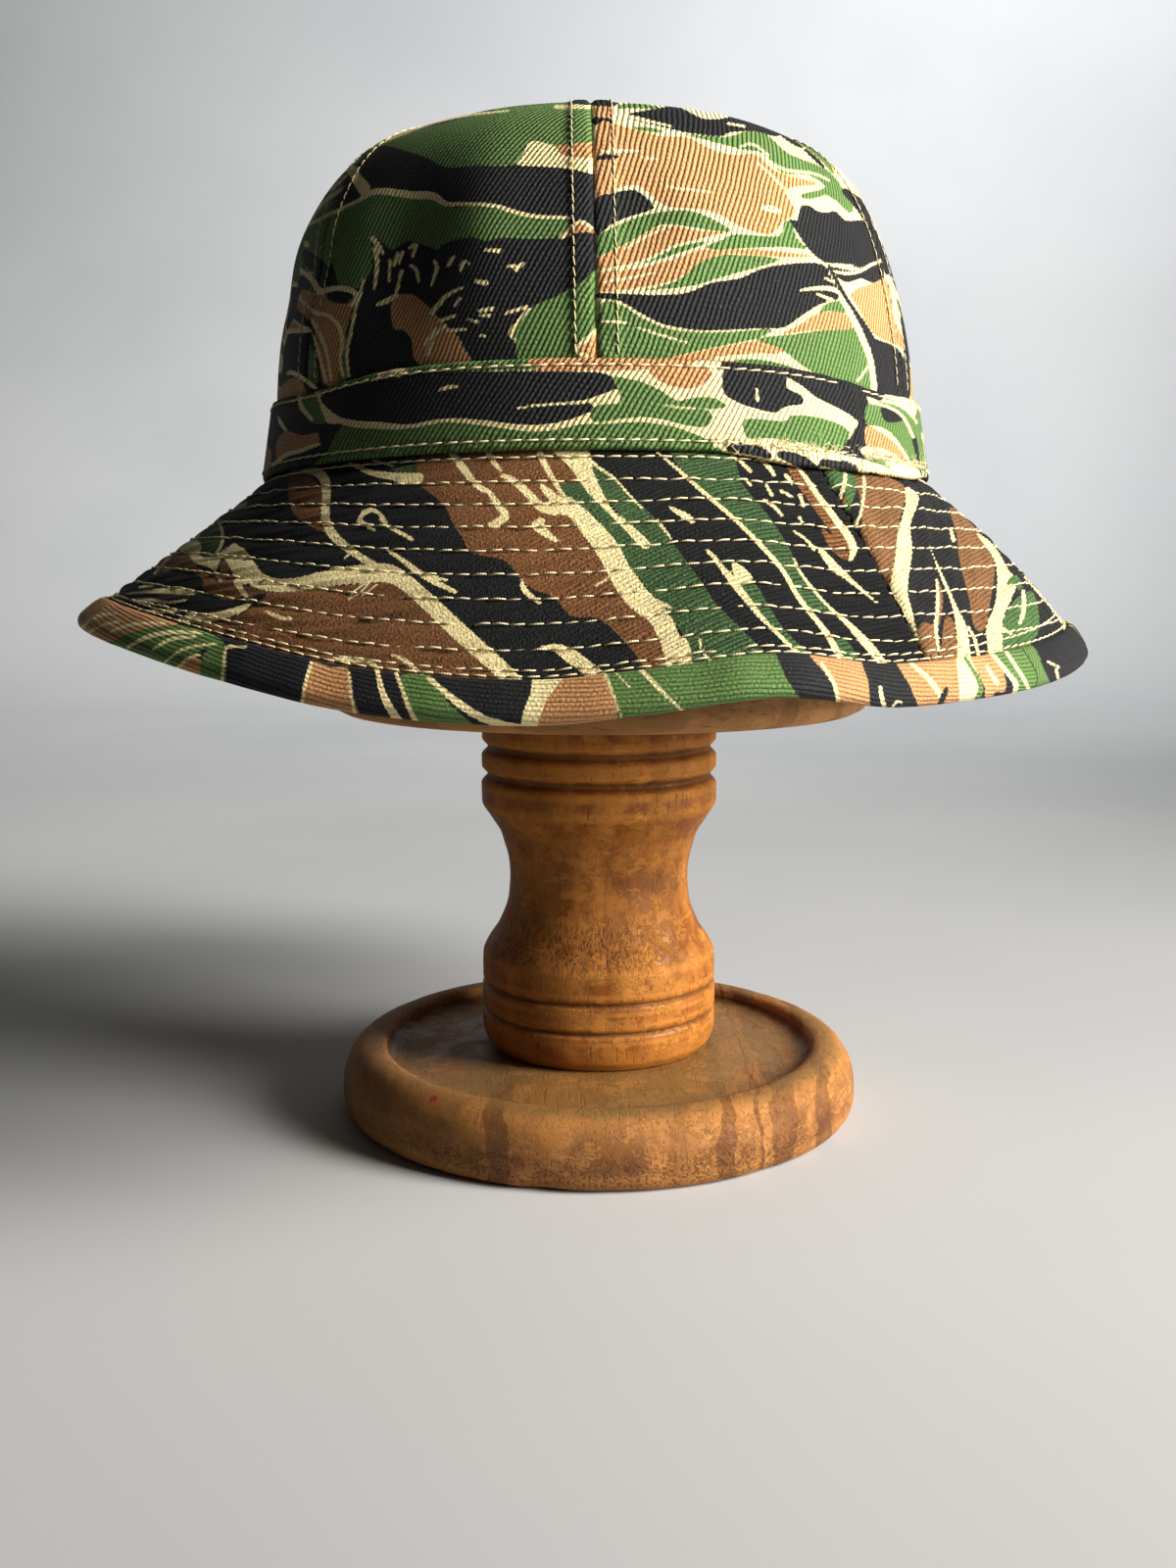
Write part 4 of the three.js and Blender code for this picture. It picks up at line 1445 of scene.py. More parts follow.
    def build_half(self, half: BrimHalf) -> Piece:
        """One half as a closed wall: fine top face from collar to edge, coarse under face back up.

        Args:
            half: The half.

        Returns:
            The piece.
        """
        start, end = half.start + self.parting, half.start + 180.0 - self.parting
        radius = self.neck_radius + self.mid_reach
        azimuth = azimuth_steps(start, end, radius, self.step, self.coarse_step)[None, :]
        width = self.section(azimuth)[0]
        top = np.linspace(0.0, 1.0, int((self.full_width + self.collar) / self.step))
        back = np.linspace(1.0, 0.0, self.under_rows)
        share = np.concatenate([top, back])[:, None]
        distance = -self.collar + share * (width - self.edge_cover + self.collar)
        outside = (np.arange(len(share)) < len(top))[:, None]
        relief = self.relief(azimuth, distance, width)
        offset = np.where(outside, self.wall / 2 + relief, -self.wall / 2 - self.under_relief * relief)
        world = self.point(azimuth + 0.0 * share, distance, offset)
        flat = self.flatten(azimuth, distance, half.lay)
        fields = half.cloth.paint(world, azimuth + 0.0 * share, flat)
        wild = WildStripe(half.cloth.wild.seed + self.under_seed, self.under_slant)
        under = wild.paint(*flat.reshape(-1, 2).T)
        below = np.repeat(~outside.ravel(), azimuth.shape[1])
        fields[below] = field_shares(under[below])
        sheet = Sheet(world, flat, fields, np.ones_like(distance), upward=False)
        return sheet.add_object("cloth_" + half.name)

    def dress(self, groups: Groups) -> None:
        """Builds both halves in their twills, from the shared node groups."""
        for half, twill in zip(self.halves, (FRONT_BRIM_TWILL, BACK_BRIM_TWILL)):
            finish_piece(self.build_half(half), twill.material(groups), half.name)

    def row_stitches(self) -> Runs:
        """Lines of stitching round the brim, one for each quilted row.

        Returns:
            The lines.
        """
        runs = []
        azimuth = np.linspace(-180.0, 180.0, self.line_points)
        width = self.section(azimuth)[0]
        for distance in self.row_distances(azimuth, width):
            sunk = self.wall / 2 + self.relief(azimuth, distance, width)
            line = self.point(azimuth, distance, sunk)
            above = self.point(azimuth, distance, sunk + 1.0)
            runs.append((line, unit(above - line)))
        return runs


@dataclass
class Binding:
    """A strip folded over the brim's edge: top face, round nose, lower face, and a slot for the brim."""

    brim: Brim
    cloth: ClothPrint
    depth: float = 9.4
    wall: float = 1.0
    nose: float = 0.8
    cover: float = 2.0
    slack: float = 0.3
    round_depth: float = 2.6
    step: float = 0.6
    join: float = 180.0
    parting: float = 0.03
    left_join: float = -62.0
    left_lay: float = -50.0
    right_join: float = 50.0
    right_lay: float = 62.0
    edge_radius: float = 139.0
    coarse_step: float = 2.0
    puff: float = 0.25
    fold: float = 0.5
    fold_width: float = 0.5
    swell: float = 0.05
    swells: Ripples = Ripples(14.0, seed=55, rates=(1.0, 0.3))
    face_points: int = 13
    nose_points: int = 15

    def section(self) -> tuple[Array, Array]:
        """The closed section. Its nose is half an ellipse between the two faces.

        Returns:
            Distances in from the edge, and offsets from the brim's middle.
        """
        inside = self.brim.wall / 2 + self.slack
        outside = inside + self.wall
        slot = self.cover - self.slack
        face = np.linspace(self.depth, self.round_depth, self.face_points)
        angle = np.linspace(math.pi / 2, -math.pi / 2, self.nose_points)[1:-1]
        nose_in = self.round_depth - (self.round_depth + self.nose) * np.cos(angle)
        inward = np.concatenate([face, nose_in, face[::-1], [self.depth, slot, slot, self.depth]])
        puff = self.puff * np.sin(np.linspace(0.0, math.pi, len(face)))
        top = outside + puff - self.fold * bell(face - self.depth, self.fold_width)
        held = [-inside, -inside, inside, inside]
        offset = np.concatenate([top, outside * np.sin(angle), -top[::-1], held])
        return inward, offset

    def build(self) -> Piece:
        """The section carried round the brim's edge, its ends meeting at a join at the back.

        Returns:
            The piece.
        """
        inward, offset = self.section()
        end = self.join - self.parting
        azimuth = azimuth_steps(-end, end, self.edge_radius, self.step, self.coarse_step)[None, :]
        width = self.brim.section(azimuth)[0]
        around = np.radians(azimuth) * self.edge_radius
        path = walked(np.stack([inward, offset], axis=-1))[:, None]
        swell = 1.0 + self.swell * self.swells.at(around, path)
        world = self.brim.point(azimuth + 0.0 * path, width - inward[:, None], offset[:, None] * swell)
        flat = np.stack(np.broadcast_arrays(around, path), axis=-1)
        turn = azimuth + 0.0 * path
        fields = self.cloth.paint(world, turn, flat)
        lay = np.where(turn > self.right_join, self.right_lay, 0.0)
        lay = np.radians(np.where(turn < self.left_join, self.left_lay, lay))
        laid_along = flat[..., 0] * np.cos(lay) - flat[..., 1] * np.sin(lay)
        laid_across = flat[..., 0] * np.sin(lay) + flat[..., 1] * np.cos(lay)
        laid = np.stack([laid_along, laid_across], axis=-1)
        return Sheet(world, laid, fields, np.ones_like(turn), upward=False).add_object("cloth_brim_binding")

    def dress(self, groups: Groups) -> None:
        """Builds the binding in its twill, from the shared node groups."""
        finish_piece(self.build(), BINDING_TWILL.material(groups), "brim_binding")


# A stitch at five places: the share along it, its lift off the cloth, and the share of its full thickness.
STITCH_SHARE = np.array([0.0, 0.06, 0.5, 0.94, 1.0])
STITCH_LIFT = np.array([-0.25, 0.17, 0.3, 0.17, -0.25])
STITCH_GIRTH = np.array([0.0, 0.85, 1.0, 0.85, 0.0])


@dataclass
class Stitching:
    """Cream cotton thread: a small arched capsule for each stitch, all joined in one mesh."""

    length: float = 4.0
    pitch: float = 4.05
    thread: float = 0.26
    sides: int = 6
    seed: int = 17
    stray: float = 0.1
    shortest: float = 0.93
    slant: tuple[float, float] = (0.1, 0.5)

    def run(self, line: Array, normal: Array, draw: np.random.Generator) -> Array:
        """Stitches along one line.

        Args:
            line: Close points along the line, in millimetres.
            normal: Directions off the cloth at those points.
            draw: Source of small irregularities.

        Returns:
            Stitches by vertices by 3.
        """
        lengths = walked(line)
        count = int((lengths[-1] - self.length) / self.pitch)
        begin = np.arange(count) * self.pitch + draw.uniform(-self.stray, self.stray, count)
        size = self.length * draw.uniform(self.shortest, 1.0, count)
        at = begin[:, None] + size[:, None] * STITCH_SHARE
        middle = path_places(at, lengths, line)
        up = unit(path_places(at, lengths, normal))
        side = unit(np.cross(up, np.gradient(middle, axis=1)))
        slant = (STITCH_SHARE - 0.5) * draw.uniform(*self.slant, count)[:, None]
        return self.capsules(middle + up * STITCH_LIFT[:, None] + side * slant[..., None], up)

    def capsules(self, middle: Array, up: Array) -> Array:
        """Closed capsules along short paths of five points.

        Args:
            middle: Paths by 5 points by 3.
            up: Directions across the paths, the same shape.

        Returns:
            Capsules by vertices by 3: a pole, three rings and a pole.
        """
        side = unit(np.cross(up, np.gradient(middle, axis=1)))
        angle = np.arange(self.sides) * 2.0 * math.pi / self.sides
        spoke = side[:, 1:4, None] * np.cos(angle)[:, None] + up[:, 1:4, None] * np.sin(angle)[:, None]
        rings = middle[:, 1:4, None] + spoke * (self.thread * STITCH_GIRTH[1:4])[:, None, None]
        return np.concatenate([middle[:, :1], rings.reshape(len(middle), -1, 3), middle[:, 4:]], axis=1)

    def faces(self, count: int) -> Array:
        """Triangles of all stitches: fans at both poles and two bands of split quads between the rings.

        Args:
            count: Number of stitches.

        Returns:
            Triangles by 3 vertex numbers.
        """
        turn = np.arange(self.sides)
        after = (turn + 1) % self.sides
        rings = [1 + ring * self.sides for ring in range(3)]
        last = np.full(self.sides, 1 + 3 * self.sides)
        parts = [(0 * turn, rings[0] + after, rings[0] + turn), (last, rings[2] + turn, rings[2] + after)]
        for near, far in zip(rings, rings[1:]):
            parts += [(near + turn, near + after, far + after), (near + turn, far + after, far + turn)]
        one = np.concatenate([np.stack(part, axis=-1) for part in parts])
        return (one[None] + (np.arange(count) * (2 + 3 * self.sides))[:, None, None]).reshape(-1, 3)

    def build(self, name: str, runs: Runs) -> Piece:
        """All the stitches of some lines as one piece."""
        draw = np.random.default_rng(self.seed)
        return self.join(name, np.concatenate([self.run(line, normal, draw) for line, normal in runs]))

    def dress(self, name: str, runs: Runs, thread: bpy.types.Material) -> None:
        """Builds the stitches of some lines in a thread."""
        finish_piece(self.build(name, runs), thread)

    def join(self, name: str, stitches: Array) -> Piece:
        """Capsules as one piece, with cloth coordinates along and round each thread.

        Args:
            name: Name of the object.
            stitches: Capsules by vertices by 3.

        Returns:
            The piece.
        """
        points = stitches.reshape(-1, 3)
        share = STITCH_SHARE
        rings = np.concatenate([share[:1], np.repeat(share[1:4], self.sides), share[4:]]) * self.length
        spin = np.concatenate([[0.0], np.tile(np.arange(self.sides) / self.sides, 3), [0.0]])
        flat = np.tile(np.stack([rings, spin], axis=-1), (len(stitches), 1))
        return add_mesh(name, points, self.faces(len(stitches)).tolist(), flat)


@dataclass
class FrayedFoot:
    """Loose thread ends where the band's rolled foot has worn through.

    Each is a short path off the foot with a bow that grows as the square of the share along it.
    """

    band: HatBand
    start: float = 17.0
    end: float = 70.0
    threads: int = 360
    shortest: float = 0.9
    longest: float = 2.6
    height: float = 3.0
    spread: float = 0.6
    lift: float = 0.05
    droop: float = -0.15
    scatter: float = 0.6
    curl: float = 0.5
    outward: float = 0.4
    bend: float = 0.6
    thread: float = 0.13
    seed: int = 29

    def build(self) -> Piece:
        """All the thread ends as one piece.

        Returns:
            The piece.
        """
        draw = np.random.default_rng(self.seed)
        azimuth = draw.uniform(self.start, self.end, self.threads)
        height = draw.normal(self.height, self.spread, self.threads)
        foot = self.band.point(azimuth, height, self.lift)
        out = polar(azimuth, 1.0, 0.0 * azimuth)
        along = polar(azimuth + 90.0, 1.0, 0.0 * azimuth)
        turn = draw.normal(self.droop, self.scatter, self.threads)[:, None]
        way = np.where(draw.uniform(size=self.threads) < 0.5, -1.0, 1.0)[:, None]
        heading = along * way * np.cos(turn) + [0.0, 0.0, 1.0] * np.sin(turn)
        share = np.linspace(0.0, 1.0, len(STITCH_SHARE))[:, None]
        size = draw.uniform(self.shortest, self.longest, self.threads)[:, None, None]
        bow = draw.normal(0.0, self.curl, (self.threads, 1, 3)) + self.outward * out[:, None]
        middle = foot[:, None] + size * (share * heading[:, None] + self.bend * share**2 * bow)
        stitching = Stitching(thread=self.thread, sides=4)
        up = np.broadcast_to(out[:, None], middle.shape)
        return stitching.join("band_fray", stitching.capsules(middle, up))

    def dress(self, thread: bpy.types.Material) -> None:
        """Builds the thread ends in a thread."""
        finish_piece(self.build(), thread)


TURNED_RADIUS = 60.0  # radius at which lengths round a turned piece are measured
DENT_LENGTH = 16.0
NICK_LENGTH = 7.0
NICK_SHARE = 0.6
DENTED_RADII = (4.0, 20.0)  # radii between which dents grow to their full depth
BEND_POINTS = 13


def bent_edge(start: tuple[float, float], corner: tuple[float, float], end: tuple[float, float]) -> Array:
    """A rounded edge of a turned outline: the quadratic curve that leans on a corner.

    Args:
        start: Radius and height where it starts.
        corner: Those of the corner.
        end: Those of its end.

    Returns:
        Points by radius and height.
    """
    share = np.linspace(0.0, 1.0, BEND_POINTS)[:, None]
    start, corner, end = (np.array(place, float) for place in (start, corner, end))
    return (1 - share) ** 2 * start + 2 * share * (1 - share) * corner + share**2 * end


def even_outline(points: Array, step: float) -> Array:
    """The same outline with points an even step apart.

    Args:
        points: Radii and heights.
        step: Step in millimetres.

    Returns:
        Radii and heights.
    """
    lengths = walked(points)
    keep = np.concatenate([[True], np.diff(lengths) > TINY])
    at = np.linspace(0.0, lengths[-1], int(lengths[-1] / step) + 2)
    return path_places(at, lengths[keep], points[keep])


def hollow_depth(outline: Array, reach: float = 3.0) -> Array:
    """How far each outline point lies inside the chord of its neighbours, below 0 where outside.

    The neighbours are read along the outline, and the depth is along the outward normal.

    Args:
        outline: Radii and heights.
        reach: Length along the outline to each neighbour.

    Returns:
        Depths in millimetres.
    """
    lengths = walked(outline) + np.arange(len(outline)) * TINY
    before, after = (path_places(lengths + way, lengths, outline) for way in (-reach, reach))
    along = unit(after - before)
    bow = (before + after) / 2 - outline
    return bow[:, 0] * along[:, 1] - bow[:, 1] * along[:, 0]


def turned_piece(name: str, outline: Array, sides: int, wear: float, seed: int) -> Piece:
    """A piece turned about Z: an outline swept round, with small dents, closed at both poles.

    Args:
        name: Name of the object.
        outline: Radii and heights from pole to pole, the first and last on the axis.
        sides: Steps round the axis.
        wear: Depth of the dents in millimetres.
        seed: Seed of the dents.

    Returns:
        The object.
    """
    turn = np.linspace(0.0, 360.0, sides, endpoint=False)[None, :]
    radius, height = outline[1:-1, :1], outline[1:-1, 1:]
    angle = np.radians(turn)
    dents = Ripples(DENT_LENGTH, seed).at(TURNED_RADIUS * np.sin(angle), height)
    dents = dents + NICK_SHARE * Ripples(NICK_LENGTH, seed + 1).at(TURNED_RADIUS * np.cos(angle), height)
    worn = radius - wear * np.maximum(dents, 0.0) * smooth_share(*DENTED_RADII, radius)
    rings = polar(turn + 0.0 * height, worn, height + 0.0 * turn)
    rows = rings.shape[0]
    poles = np.array([[0.0, 0.0, outline[0, 1]], [0.0, 0.0, outline[-1, 1]]])
    points = np.concatenate([rings.reshape(-1, 3), poles])
    index = np.arange(rows * sides).reshape(rows, sides)
    after = np.roll(index, -1, axis=1)
    quads = np.stack([index[:-1], after[:-1], after[1:], index[1:]], axis=-1).reshape(-1, 4)
    low = np.stack([np.full(sides, rows * sides), after[0], index[0]], axis=-1)
    high = np.stack([np.full(sides, rows * sides + 1), index[-1], after[-1]], axis=-1)
    flat = np.stack(np.broadcast_arrays(angle * TURNED_RADIUS, height), axis=-1).reshape(-1, 2)
    flat = np.concatenate([flat, poles[:, :2]])
    piece = add_mesh(name, points, quads.tolist() + low.tolist() + high.tolist(), flat)
    hollow = np.concatenate([np.repeat(hollow_depth(outline)[1:-1], sides), [0.0, 0.0]])
    piece.data.attributes.new("hollow", "FLOAT", "POINT").data.foreach_set("value", hollow.astype(np.float32))
    return piece


@dataclass(frozen=True)
class Turning:
    """A ring, groove or hollow of the column: its height and radius."""

    name: str
    height: float
    radius: float


COLUMN_TURNINGS = (
    Turning("foot edge", 0, 32.6),
    Turning("foot round", 3, 35),
    Turning("foot ring", 7, 35.9),
    Turning("foot ring top", 10.4, 35.9),
    Turning("first groove", 11.6, 34.9),
    Turning("lower bead", 13, 35.9),
    Turning("lower bead top", 19, 35.9),
    Turning("second groove", 20.2, 34.8),
    Turning("lower collar", 21.6, 35.8),
    Turning("lower collar top", 28.6, 35.6),
    Turning("lower shoulder", 32, 34.2),
    Turning("lower hollow", 37.8, 30.5),
    Turning("waist start", 46, 27.7),
    Turning("waist", 53, 27.2),
    Turning("upper hollow", 65.4, 29.7),
    Turning("upper shoulder", 71.4, 33.2),
    Turning("upper collar", 75.6, 35.6),
    Turning("upper collar top", 81.2, 35.7),
    Turning("third groove", 83.8, 33.8),
    Turning("upper bead", 86.4, 35.6),
    Turning("upper bead top", 89.6, 35.6),
    Turning("fourth groove", 92.2, 33.7),
    Turning("head ring", 94.8, 35.5),
    Turning("head ring top", 103.5, 35.5),
)


@dataclass
class Stand:
    """A dished foot, a turned column, and a disc with a plain post under the crown."""

    gap: float = 0.3
    foot_radius: float = 74.0
    base_radius: float = 79.0
    bulge_height: float = 6.0
    rim_radius: float = 69.0
    rim_height: float = 20.4
    lip_radius: float = 65.6
    lip_height: float = 18.6
    dish_radius: float = 60.0
    dish_height: float = 16.2
    floor_radius: float = 36.0
    floor_height: float = 18.4
    underside: float = 122.5
    disc_radius: float = 80.0
    disc_edge: float = 76.5
    edge_height: float = 5.0
    thickness: float = 22.0
    shoulder_radius: float = 28.0
    post_radius: float = 23.0
    post_foot: float = 6.0
    post_end: float = 14.0
    post_top: float = 161.1
    column_rows: int = 190

    def build_base(self) -> Piece:
        """The foot: a round nosed rim about a shallow dish.

        Returns:
            The piece.
        """
        bulge = (self.base_radius, self.bulge_height)
        rim = (self.rim_radius, self.rim_height)
        lip = (self.lip_radius, self.lip_height)
        dish = (self.dish_radius, self.dish_height)
        outline = np.vstack([
            [[0.0, 0.0]],
            bent_edge((self.foot_radius, 0.0), (self.base_radius, 0.0), bulge),
            bent_edge(bulge, (self.base_radius, self.rim_height), rim),
            bent_edge(rim, (self.lip_radius, self.rim_height), lip),
            bent_edge(lip, (self.lip_radius, self.dish_height), dish),
            [[self.floor_radius, self.floor_height], [0.0, self.floor_height]],
        ])
        return turned_piece("wood_stand_base", even_outline(outline, 1.7), sides=200, wear=0.22, seed=301)

    def build_column(self) -> Piece:
        """The column: a smooth outline through its turnings that does not swing past them.

        The slope at a turning is the harmonic mean of the slopes either side, and level where they differ
        in sign.

        Returns:
            The piece.
        """
        height = np.array([turning.height for turning in COLUMN_TURNINGS], float)
        radius = np.array([turning.radius for turning in COLUMN_TURNINGS], float)
        grade = np.diff(radius) / np.diff(height)
        before, after = grade[:-1], grade[1:]
        same = before * after > 0.0
        mean = 2.0 * before * after / np.where(same, before + after, 1.0)
        slopes = np.concatenate([[grade[0]], np.where(same, mean, 0.0), [grade[-1]]])
        rows = np.linspace(0.0, height[-1], self.column_rows)
        sides = curve_through(rows, height, radius[:, None], slopes[:, None])[:, 0]
        foot = self.floor_height + self.gap
        outline = np.vstack([[[0.0, 0.0]], np.stack([sides, rows], axis=-1), [[0.0, height[-1]]]])
        return turned_piece("wood_stand_column", outline + [0.0, foot], sides=100, wear=0.06, seed=311)

    def build_block(self) -> Piece:
        """The disc with a rounded edge, and the post that carries the crown's top.

        Returns:
            The piece.
        """
        low = (self.disc_radius, self.edge_height)
        high = (self.disc_radius, self.thickness - self.edge_height)
        outline = np.vstack([
            [[0.0, 0.0]],
            bent_edge((self.disc_edge, 0.0), (self.disc_radius, 0.0), low),
            bent_edge(high, (self.disc_radius, self.thickness), (self.disc_edge, self.thickness)),
            bent_edge((self.shoulder_radius, self.thickness), (self.post_radius, self.thickness),
                      (self.post_radius, self.thickness + self.post_foot)),
            bent_edge((self.post_radius, self.post_top - self.post_end), (self.post_radius, self.post_top),
                      (0.0, self.post_top)),
        ])
        outline = even_outline(outline, 3.2) + [0.0, self.underside]
        return turned_piece("wood_stand_block", outline, sides=120, wear=0.15, seed=321)

    def dress(self, groups: Groups) -> None:
        """Builds the three pieces in their woods.

        Args:
            groups: The shared node groups by name.
        """
        finish_piece(self.build_base(), BASE_WOOD.material(groups), "stand_base")
        finish_piece(self.build_column(), COLUMN_WOOD.material(groups), "stand_column")
        finish_piece(self.build_block(), BLOCK_WOOD.material(groups), "stand_block")


GORES = (
    Gore("crown_panel_front_right", 0.0, 63.0, 0.58, ClothPrint(RIGHT_CROWN_CHART, WildStripe(401))),
    Gore("crown_panel_right", 63.0, 120.0, 0.75, ClothPrint(RIGHT_CROWN_CHART, WildStripe(412))),
    Gore("crown_panel_back_right", 120.0, 180.0, 1.0, ClothPrint(RIGHT_CROWN_CHART, WildStripe(423))),
    Gore("crown_panel_back_left", 180.0, 240.0, 1.0, ClothPrint(LEFT_CROWN_CHART, WildStripe(434))),
    Gore("crown_panel_left", 240.0, 305.0, 0.8, ClothPrint(LEFT_CROWN_CHART, WildStripe(445))),
    Gore("crown_panel_front_left", 305.0, 360.0, 0.58, ClothPrint(LEFT_CROWN_CHART, WildStripe(456))),
)
BAND_CLOTH = ClothPrint(BAND_CHART, WildStripe(467))
BRIM_HALVES = (
    BrimHalf("brim_front", start=215.0, lay=0.0, cloth=ClothPrint(
        FRONT_BRIM_CHART, WildStripe(478, slant=-55.0), seen_to=72.0, gone_by=84.0)),
    BrimHalf("brim_back", start=35.0, lay=125.0, cloth=ClothPrint(
        BACK_BRIM_CHART, WildStripe(489, slant=-55.0), seen_to=72.0, gone_by=84.0)),
)
BINDING_CLOTH = ClothPrint(BINDING_CHART, WildStripe(490, slant=70.0), seen_to=66.0, gone_by=78.0)


def srgb(red: int, green: int, blue: int) -> Colour:
    """A display colour of 0 to 255 as the linear colour that shaders take."""
    shares = (value / 255.0 for value in (red, green, blue))
    return tuple(share / 12.92 if share <= 0.04045 else ((share + 0.055) / 1.055) ** 2.4 for share in shares)


class Nodes:
    """Short ways to add and link the nodes of one tree."""

    def __init__(self, tree: bpy.types.NodeTree) -> None:
        """Keeps the tree."""
        self.tree = tree

    def feed(self, socket: Socket, value: object) -> None:
        """Links a socket to another, or sets its own value.

        Args:
            socket: The input.
            value: A socket, or a value. A colour may leave out its alpha.
        """
        if isinstance(value, Socket):
            self.tree.links.new(value, socket)
        elif isinstance(value, tuple) and len(value) == 3 and socket.type == "RGBA":
            socket.default_value = (*value, 1.0)
        else:
            socket.default_value = value

    def feed_all(self, node: bpy.types.Node, feeds: dict) -> None:
        """Feeds a node's inputs, by name or number."""
        for name, value in feeds.items():
            self.feed(node.inputs[name], value)

    def add(self, kind: str, feeds: dict | None = None, **settings: object) -> bpy.types.Node:
        """Adds a node.

        Args:
            kind: The node's type name without its ShaderNode prefix.
            feeds: Values or sockets for its inputs, by name or number.
            settings: Its properties.

        Returns:
            The node.
        """
        node = self.tree.nodes.new("ShaderNode" + kind)
        for name, value in settings.items():
            setattr(node, name, value)
        self.feed_all(node, feeds or {})
        return node

    def math(self, operation: str, *values: object) -> Socket:
        """The result of a Math node on values or sockets."""
        return self.add("Math", dict(enumerate(values)), operation=operation).outputs[0]

    def dot(self, first: object, second: object) -> Socket:
        """The dot product of two vectors."""
        return self.add("VectorMath", {0: first, 1: second}, operation="DOT_PRODUCT").outputs["Value"]

    def noise(self, place: object, scale: float, detail: float = 2.0, rough: float = 0.5) -> Socket:
        """Noise from 0 to 1 about a half."""
        feeds = {"Vector": place, "Scale": scale, "Detail": detail, "Roughness": rough}
        return self.add("TexNoise", feeds).outputs["Fac"]

    def ramp(self, value: object, low: float, high: float, bottom: float = 0.0, top: float = 1.0) -> object:
        """Value eased from low..high to bottom..top and held beyond."""
        feeds = {"Value": value, "From Min": low, "From Max": high, "To Min": bottom, "To Max": top}
        return self.add("MapRange", feeds, interpolation_type="SMOOTHSTEP").outputs[0]

    def mix(self, share: object, first: object, second: object, blend: str = "MIX") -> Socket:
        """Two colours mixed by a share.

        Args:
            share: How far the second colour shows.
            first: A colour.
            second: A colour.
            blend: How the second is laid on the first.

        Returns:
            The mixed colour.
        """
        node = self.add("Mix", data_type="RGBA", blend_type=blend)
        for name, value in (("Factor_Float", share), ("A_Color", first), ("B_Color", second)):
            self.feed(next(socket for socket in node.inputs if socket.identifier == name), value)
        return next(socket for socket in node.outputs if socket.identifier == "Result_Color")

    def stretch(self, place: object, scale: tuple[float, float, float]) -> Socket:
        """A place scaled along each axis."""
        return self.add("Mapping", {"Vector": place, "Scale": scale}).outputs[0]


def new_group(name: str, inputs: dict[str, str], outputs: dict[str, str]) -> tuple[Nodes, object, object]:
    """Starts a shader node group.

    Args:
        name: Its name.
        inputs: Socket kinds by input name.
        outputs: Socket kinds by output name.

    Returns:
        Its nodes, its input node and its output node.
    """
    tree = bpy.data.node_groups.new(name, "ShaderNodeTree")
    for side, sockets in (("INPUT", inputs), ("OUTPUT", outputs)):
        for socket, kind in sockets.items():
            tree.interface.new_socket(socket, in_out=side, socket_type="NodeSocket" + kind)
    return Nodes(tree), tree.nodes.new("NodeGroupInput"), tree.nodes.new("NodeGroupOutput")


def twill_group() -> bpy.types.NodeTree:
    """Twill: rounded slanting ribs with furrows darkened as painted shade, broken into short floats, with
    loose fibres.

    A rib's height is a power of the sine across the ribs. Ribbing tells how far ribs show through the fibres,
    and Speckle how far the fibres mottle the cloth. Shade is painted shade in the furrows over that mottle.
    Fray is how far ink creeps along the ribs.

    Returns:
        The group.
    """
    inputs = dict.fromkeys(("Flat", "Across", "Floats"), "Vector")
    inputs |= dict.fromkeys(("Ribbing", "Speckle"), "Float")
    outputs = dict.fromkeys(("Height", "Shade", "Fray", "Gloss"), "Float")
    nodes, given, made = new_group("twill_weave", inputs, outputs)
    flat = given.outputs["Flat"]
    wobble = nodes.math("MULTIPLY", nodes.noise(flat, 0.11, 1.0), 0.9)
    phase = nodes.math("ADD", nodes.dot(flat, given.outputs["Across"]), wobble)
    wave = nodes.math("ABSOLUTE", nodes.math("SINE", nodes.math("MULTIPLY", phase, math.pi)))
    rib = nodes.math("POWER", wave, 0.85)
    order = nodes.math("MULTIPLY", nodes.math("FLOOR", phase), 0.37)
    beat = nodes.math("ADD", nodes.dot(flat, given.outputs["Floats"]), order)
    floats = nodes.math("SINE", nodes.math("MULTIPLY", beat, 2.0 * math.pi))
    body = nodes.math("MULTIPLY", rib, nodes.math("MULTIPLY_ADD", floats, 0.10, 0.9))
    ribbed = nodes.math("MULTIPLY", nodes.math("SUBTRACT", body, 0.60), given.outputs["Ribbing"])
    fibre = nodes.ramp(nodes.noise(flat, 1.5, 3.0, 0.7), 0.3, 0.7, -0.5, 0.5)
    mottle = nodes.math("MULTIPLY", fibre, given.outputs["Speckle"])
    height = nodes.math("MULTIPLY_ADD", mottle, 0.8, ribbed)
    # Painted shade: the colour darkens in the furrows between ribs, on top of the fibres' real mottle.
    shade = nodes.math("ADD", mottle, nodes.math("MULTIPLY_ADD", ribbed, 1.35, 1.02))
    creep = nodes.math("SUBTRACT", nodes.noise(flat, 0.85, 3.0, 0.6), 0.5)
    fray = nodes.math("MULTIPLY_ADD", creep, 4.4, nodes.math("MULTIPLY_ADD", rib, 2.3, -1.4))
    shade = nodes.math("MAXIMUM", shade, 0.12)
    gloss = nodes.math("MULTIPLY_ADD", ribbed, -0.42, 0.64)
    nodes.feed_all(made, {"Height": height, "Shade": shade, "Fray": fray, "Gloss": gloss})
    return nodes.tree


